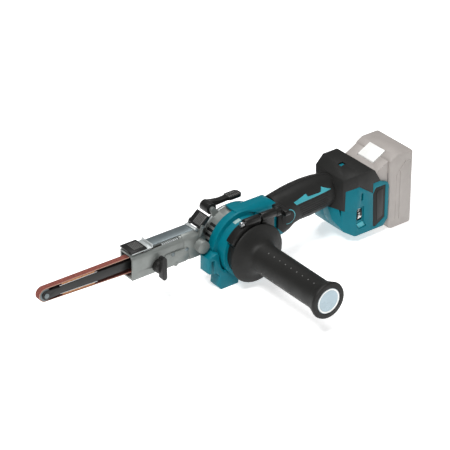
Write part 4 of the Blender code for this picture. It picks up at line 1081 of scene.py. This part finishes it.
class SANDER_OT_battery(bpy.types.Operator):
    """Finish the battery pack, its panels and release button"""

    bl_idname = "sander.battery"
    bl_label = "Battery Pack"

    def execute(self, context):
        refined("battery_case", finish("battery"), 0.8 * MM)
        refined("battery_tongue", finish("battery"), 0.5 * MM)
        refined("battery_button", finish("white"), 0.6 * MM)
        flank = [(244, -38), (268, -38), (268, 46), (262, 50), (246, 34), (244, 31)]
        seam = [(250.2, -42), (251.0, -42), (251.0, 54), (250.2, 54)]
        for side, low, high in (("near", -37.95, -37.0), ("far", 37.0, 37.95)):
            panel = plate("battery_flank_" + side, "y", flank, low, high, 0.3)
            groove = plate("groove", "y", seam, low - 2, high + 2, 0)
            combined(panel, groove, "DIFFERENCE")
            settle(smoothed(panel), "battery_case", finish("battery"))
            bead = [(243.6, 31.4), (262, 51), (268.8, 46.8), (268.8, 45), (262.4, 49), (244.6, 30.2)]
            bead_piece = plate("battery_bead_" + side, "y", bead, low - 0.15, high + 0.15, 0.2)
            settle(bead_piece, "battery_case", finish("battery"))
        return {"FINISHED"}


class SANDER_OT_stage(bpy.types.Operator):
    """Set out the pale floor, the studio lights and the camera"""

    bl_idname = "sander.stage"
    bl_label = "Studio"

    def execute(self, context):
        self.floor()
        self.lights()
        self.camera(context)
        context.scene.view_settings.view_transform = "Standard"
        return {"FINISHED"}

    def floor(self):
        bpy.ops.object.select_all(action="DESELECT")
        bpy.ops.mesh.primitive_plane_add(size=FLOOR_SIZE, location=(0, 0, -FLOOR_DROP))
        bpy.ops.object.transform_apply(location=True, rotation=True, scale=True)
        floor = bpy.context.object
        floor.name = "studio_floor"
        made = Finish("Pale Floor", 0.9)
        tone = made.group("Handling Marks", Scale=3.0)
        made.link(mixed(made.tree, tone["Smudge"], (0.93, 0.93, 0.93), (0.95, 0.95, 0.95)), "Base Color")
        made.shader.inputs["Emission Color"].default_value = (1, 1, 1, 1)
        made.shader.inputs["Emission Strength"].default_value = FLOOR_GLOW
        floor.data.materials.append(made.material)

    def lights(self):
        world = bpy.data.worlds.new("Studio")
        world.use_nodes = True
        sky = world.node_tree.nodes["Background"]
        sky.inputs["Color"].default_value = (1, 1, 1, 1)
        sky.inputs["Strength"].default_value = SKY_STRENGTH
        bpy.context.scene.world = world
        target = place(*LIGHT_TARGET)
        for name, spot, size, power in LAMPS:
            lamp = bpy.data.lights.new(name, "AREA")
            lamp.size = size
            lamp.energy = power
            holder = bpy.data.objects.new(name, lamp)
            holder.location = target + Vector(spot)
            holder.rotation_euler = (-Vector(spot)).to_track_quat("-Z", "Y").to_euler()
            bpy.context.scene.collection.objects.link(holder)

    def camera(self, context):
        azimuth, elevation = sizes().view_azimuth, sizes().view_elevation
        back = Vector((
            math.sin(azimuth) * math.cos(elevation),
            -math.cos(azimuth) * math.cos(elevation),
            math.sin(elevation),
        ))
        right = Vector((math.cos(azimuth), math.sin(azimuth), 0))
        above = back.cross(right)
        lens = bpy.data.cameras.new("camera")
        lens.lens = CAMERA_LENS
        lens.sensor_width = CAMERA_SENSOR
        lens.clip_end = CAMERA_CLIP
        holder = bpy.data.objects.new("camera", lens)
        aim = place(0, 0, 0) + back * CAMERA_DISTANCE
        holder.location = aim - right * CAMERA_LEFT + above * CAMERA_UP
        holder.rotation_euler = (math.pi / 2 - elevation, 0, azimuth)
        context.scene.collection.objects.link(holder)
        context.scene.camera = holder


class SANDER_PT_panel(bpy.types.Panel):
    """Sander pieces, colours and sizes"""

    bl_idname = "SANDER_PT_panel"
    bl_label = "Belt Sander"
    bl_space_type = "VIEW_3D"
    bl_region_type = "UI"
    bl_category = "Sander"

    def draw(self, context):
        for operator in OPERATORS:
            self.layout.operator(operator.bl_idname)
        for group in (context.scene.sander_colours, context.scene.sander_sizes):
            box = self.layout.box()
            for name in group.__annotations__:
                box.prop(group, name)


OPERATORS = (
    SANDER_OT_drive,
    SANDER_OT_nose,
    SANDER_OT_arm,
    SANDER_OT_arm_controls,
    SANDER_OT_gear_case,
    SANDER_OT_motor_housing,
    SANDER_OT_clamp,
    SANDER_OT_side_handle,
    SANDER_OT_grip,
    SANDER_OT_rear_housing,
    SANDER_OT_battery,
    SANDER_OT_stage,
)
CLASSES = (SanderColours, SanderSizes, *OPERATORS, SANDER_PT_panel)


def register():
    for kind in CLASSES:
        bpy.utils.register_class(kind)
    bpy.types.Scene.sander_colours = bpy.props.PointerProperty(type=SanderColours)
    bpy.types.Scene.sander_sizes = bpy.props.PointerProperty(type=SanderSizes)


def unregister():
    del bpy.types.Scene.sander_sizes
    del bpy.types.Scene.sander_colours
    for kind in reversed(CLASSES):
        bpy.utils.unregister_class(kind)


def main():
    register()
    for operator in OPERATORS:
        family, name = operator.bl_idname.split(".")
        getattr(getattr(bpy.ops, family), name)()


if __name__ == "__main__":
    main()
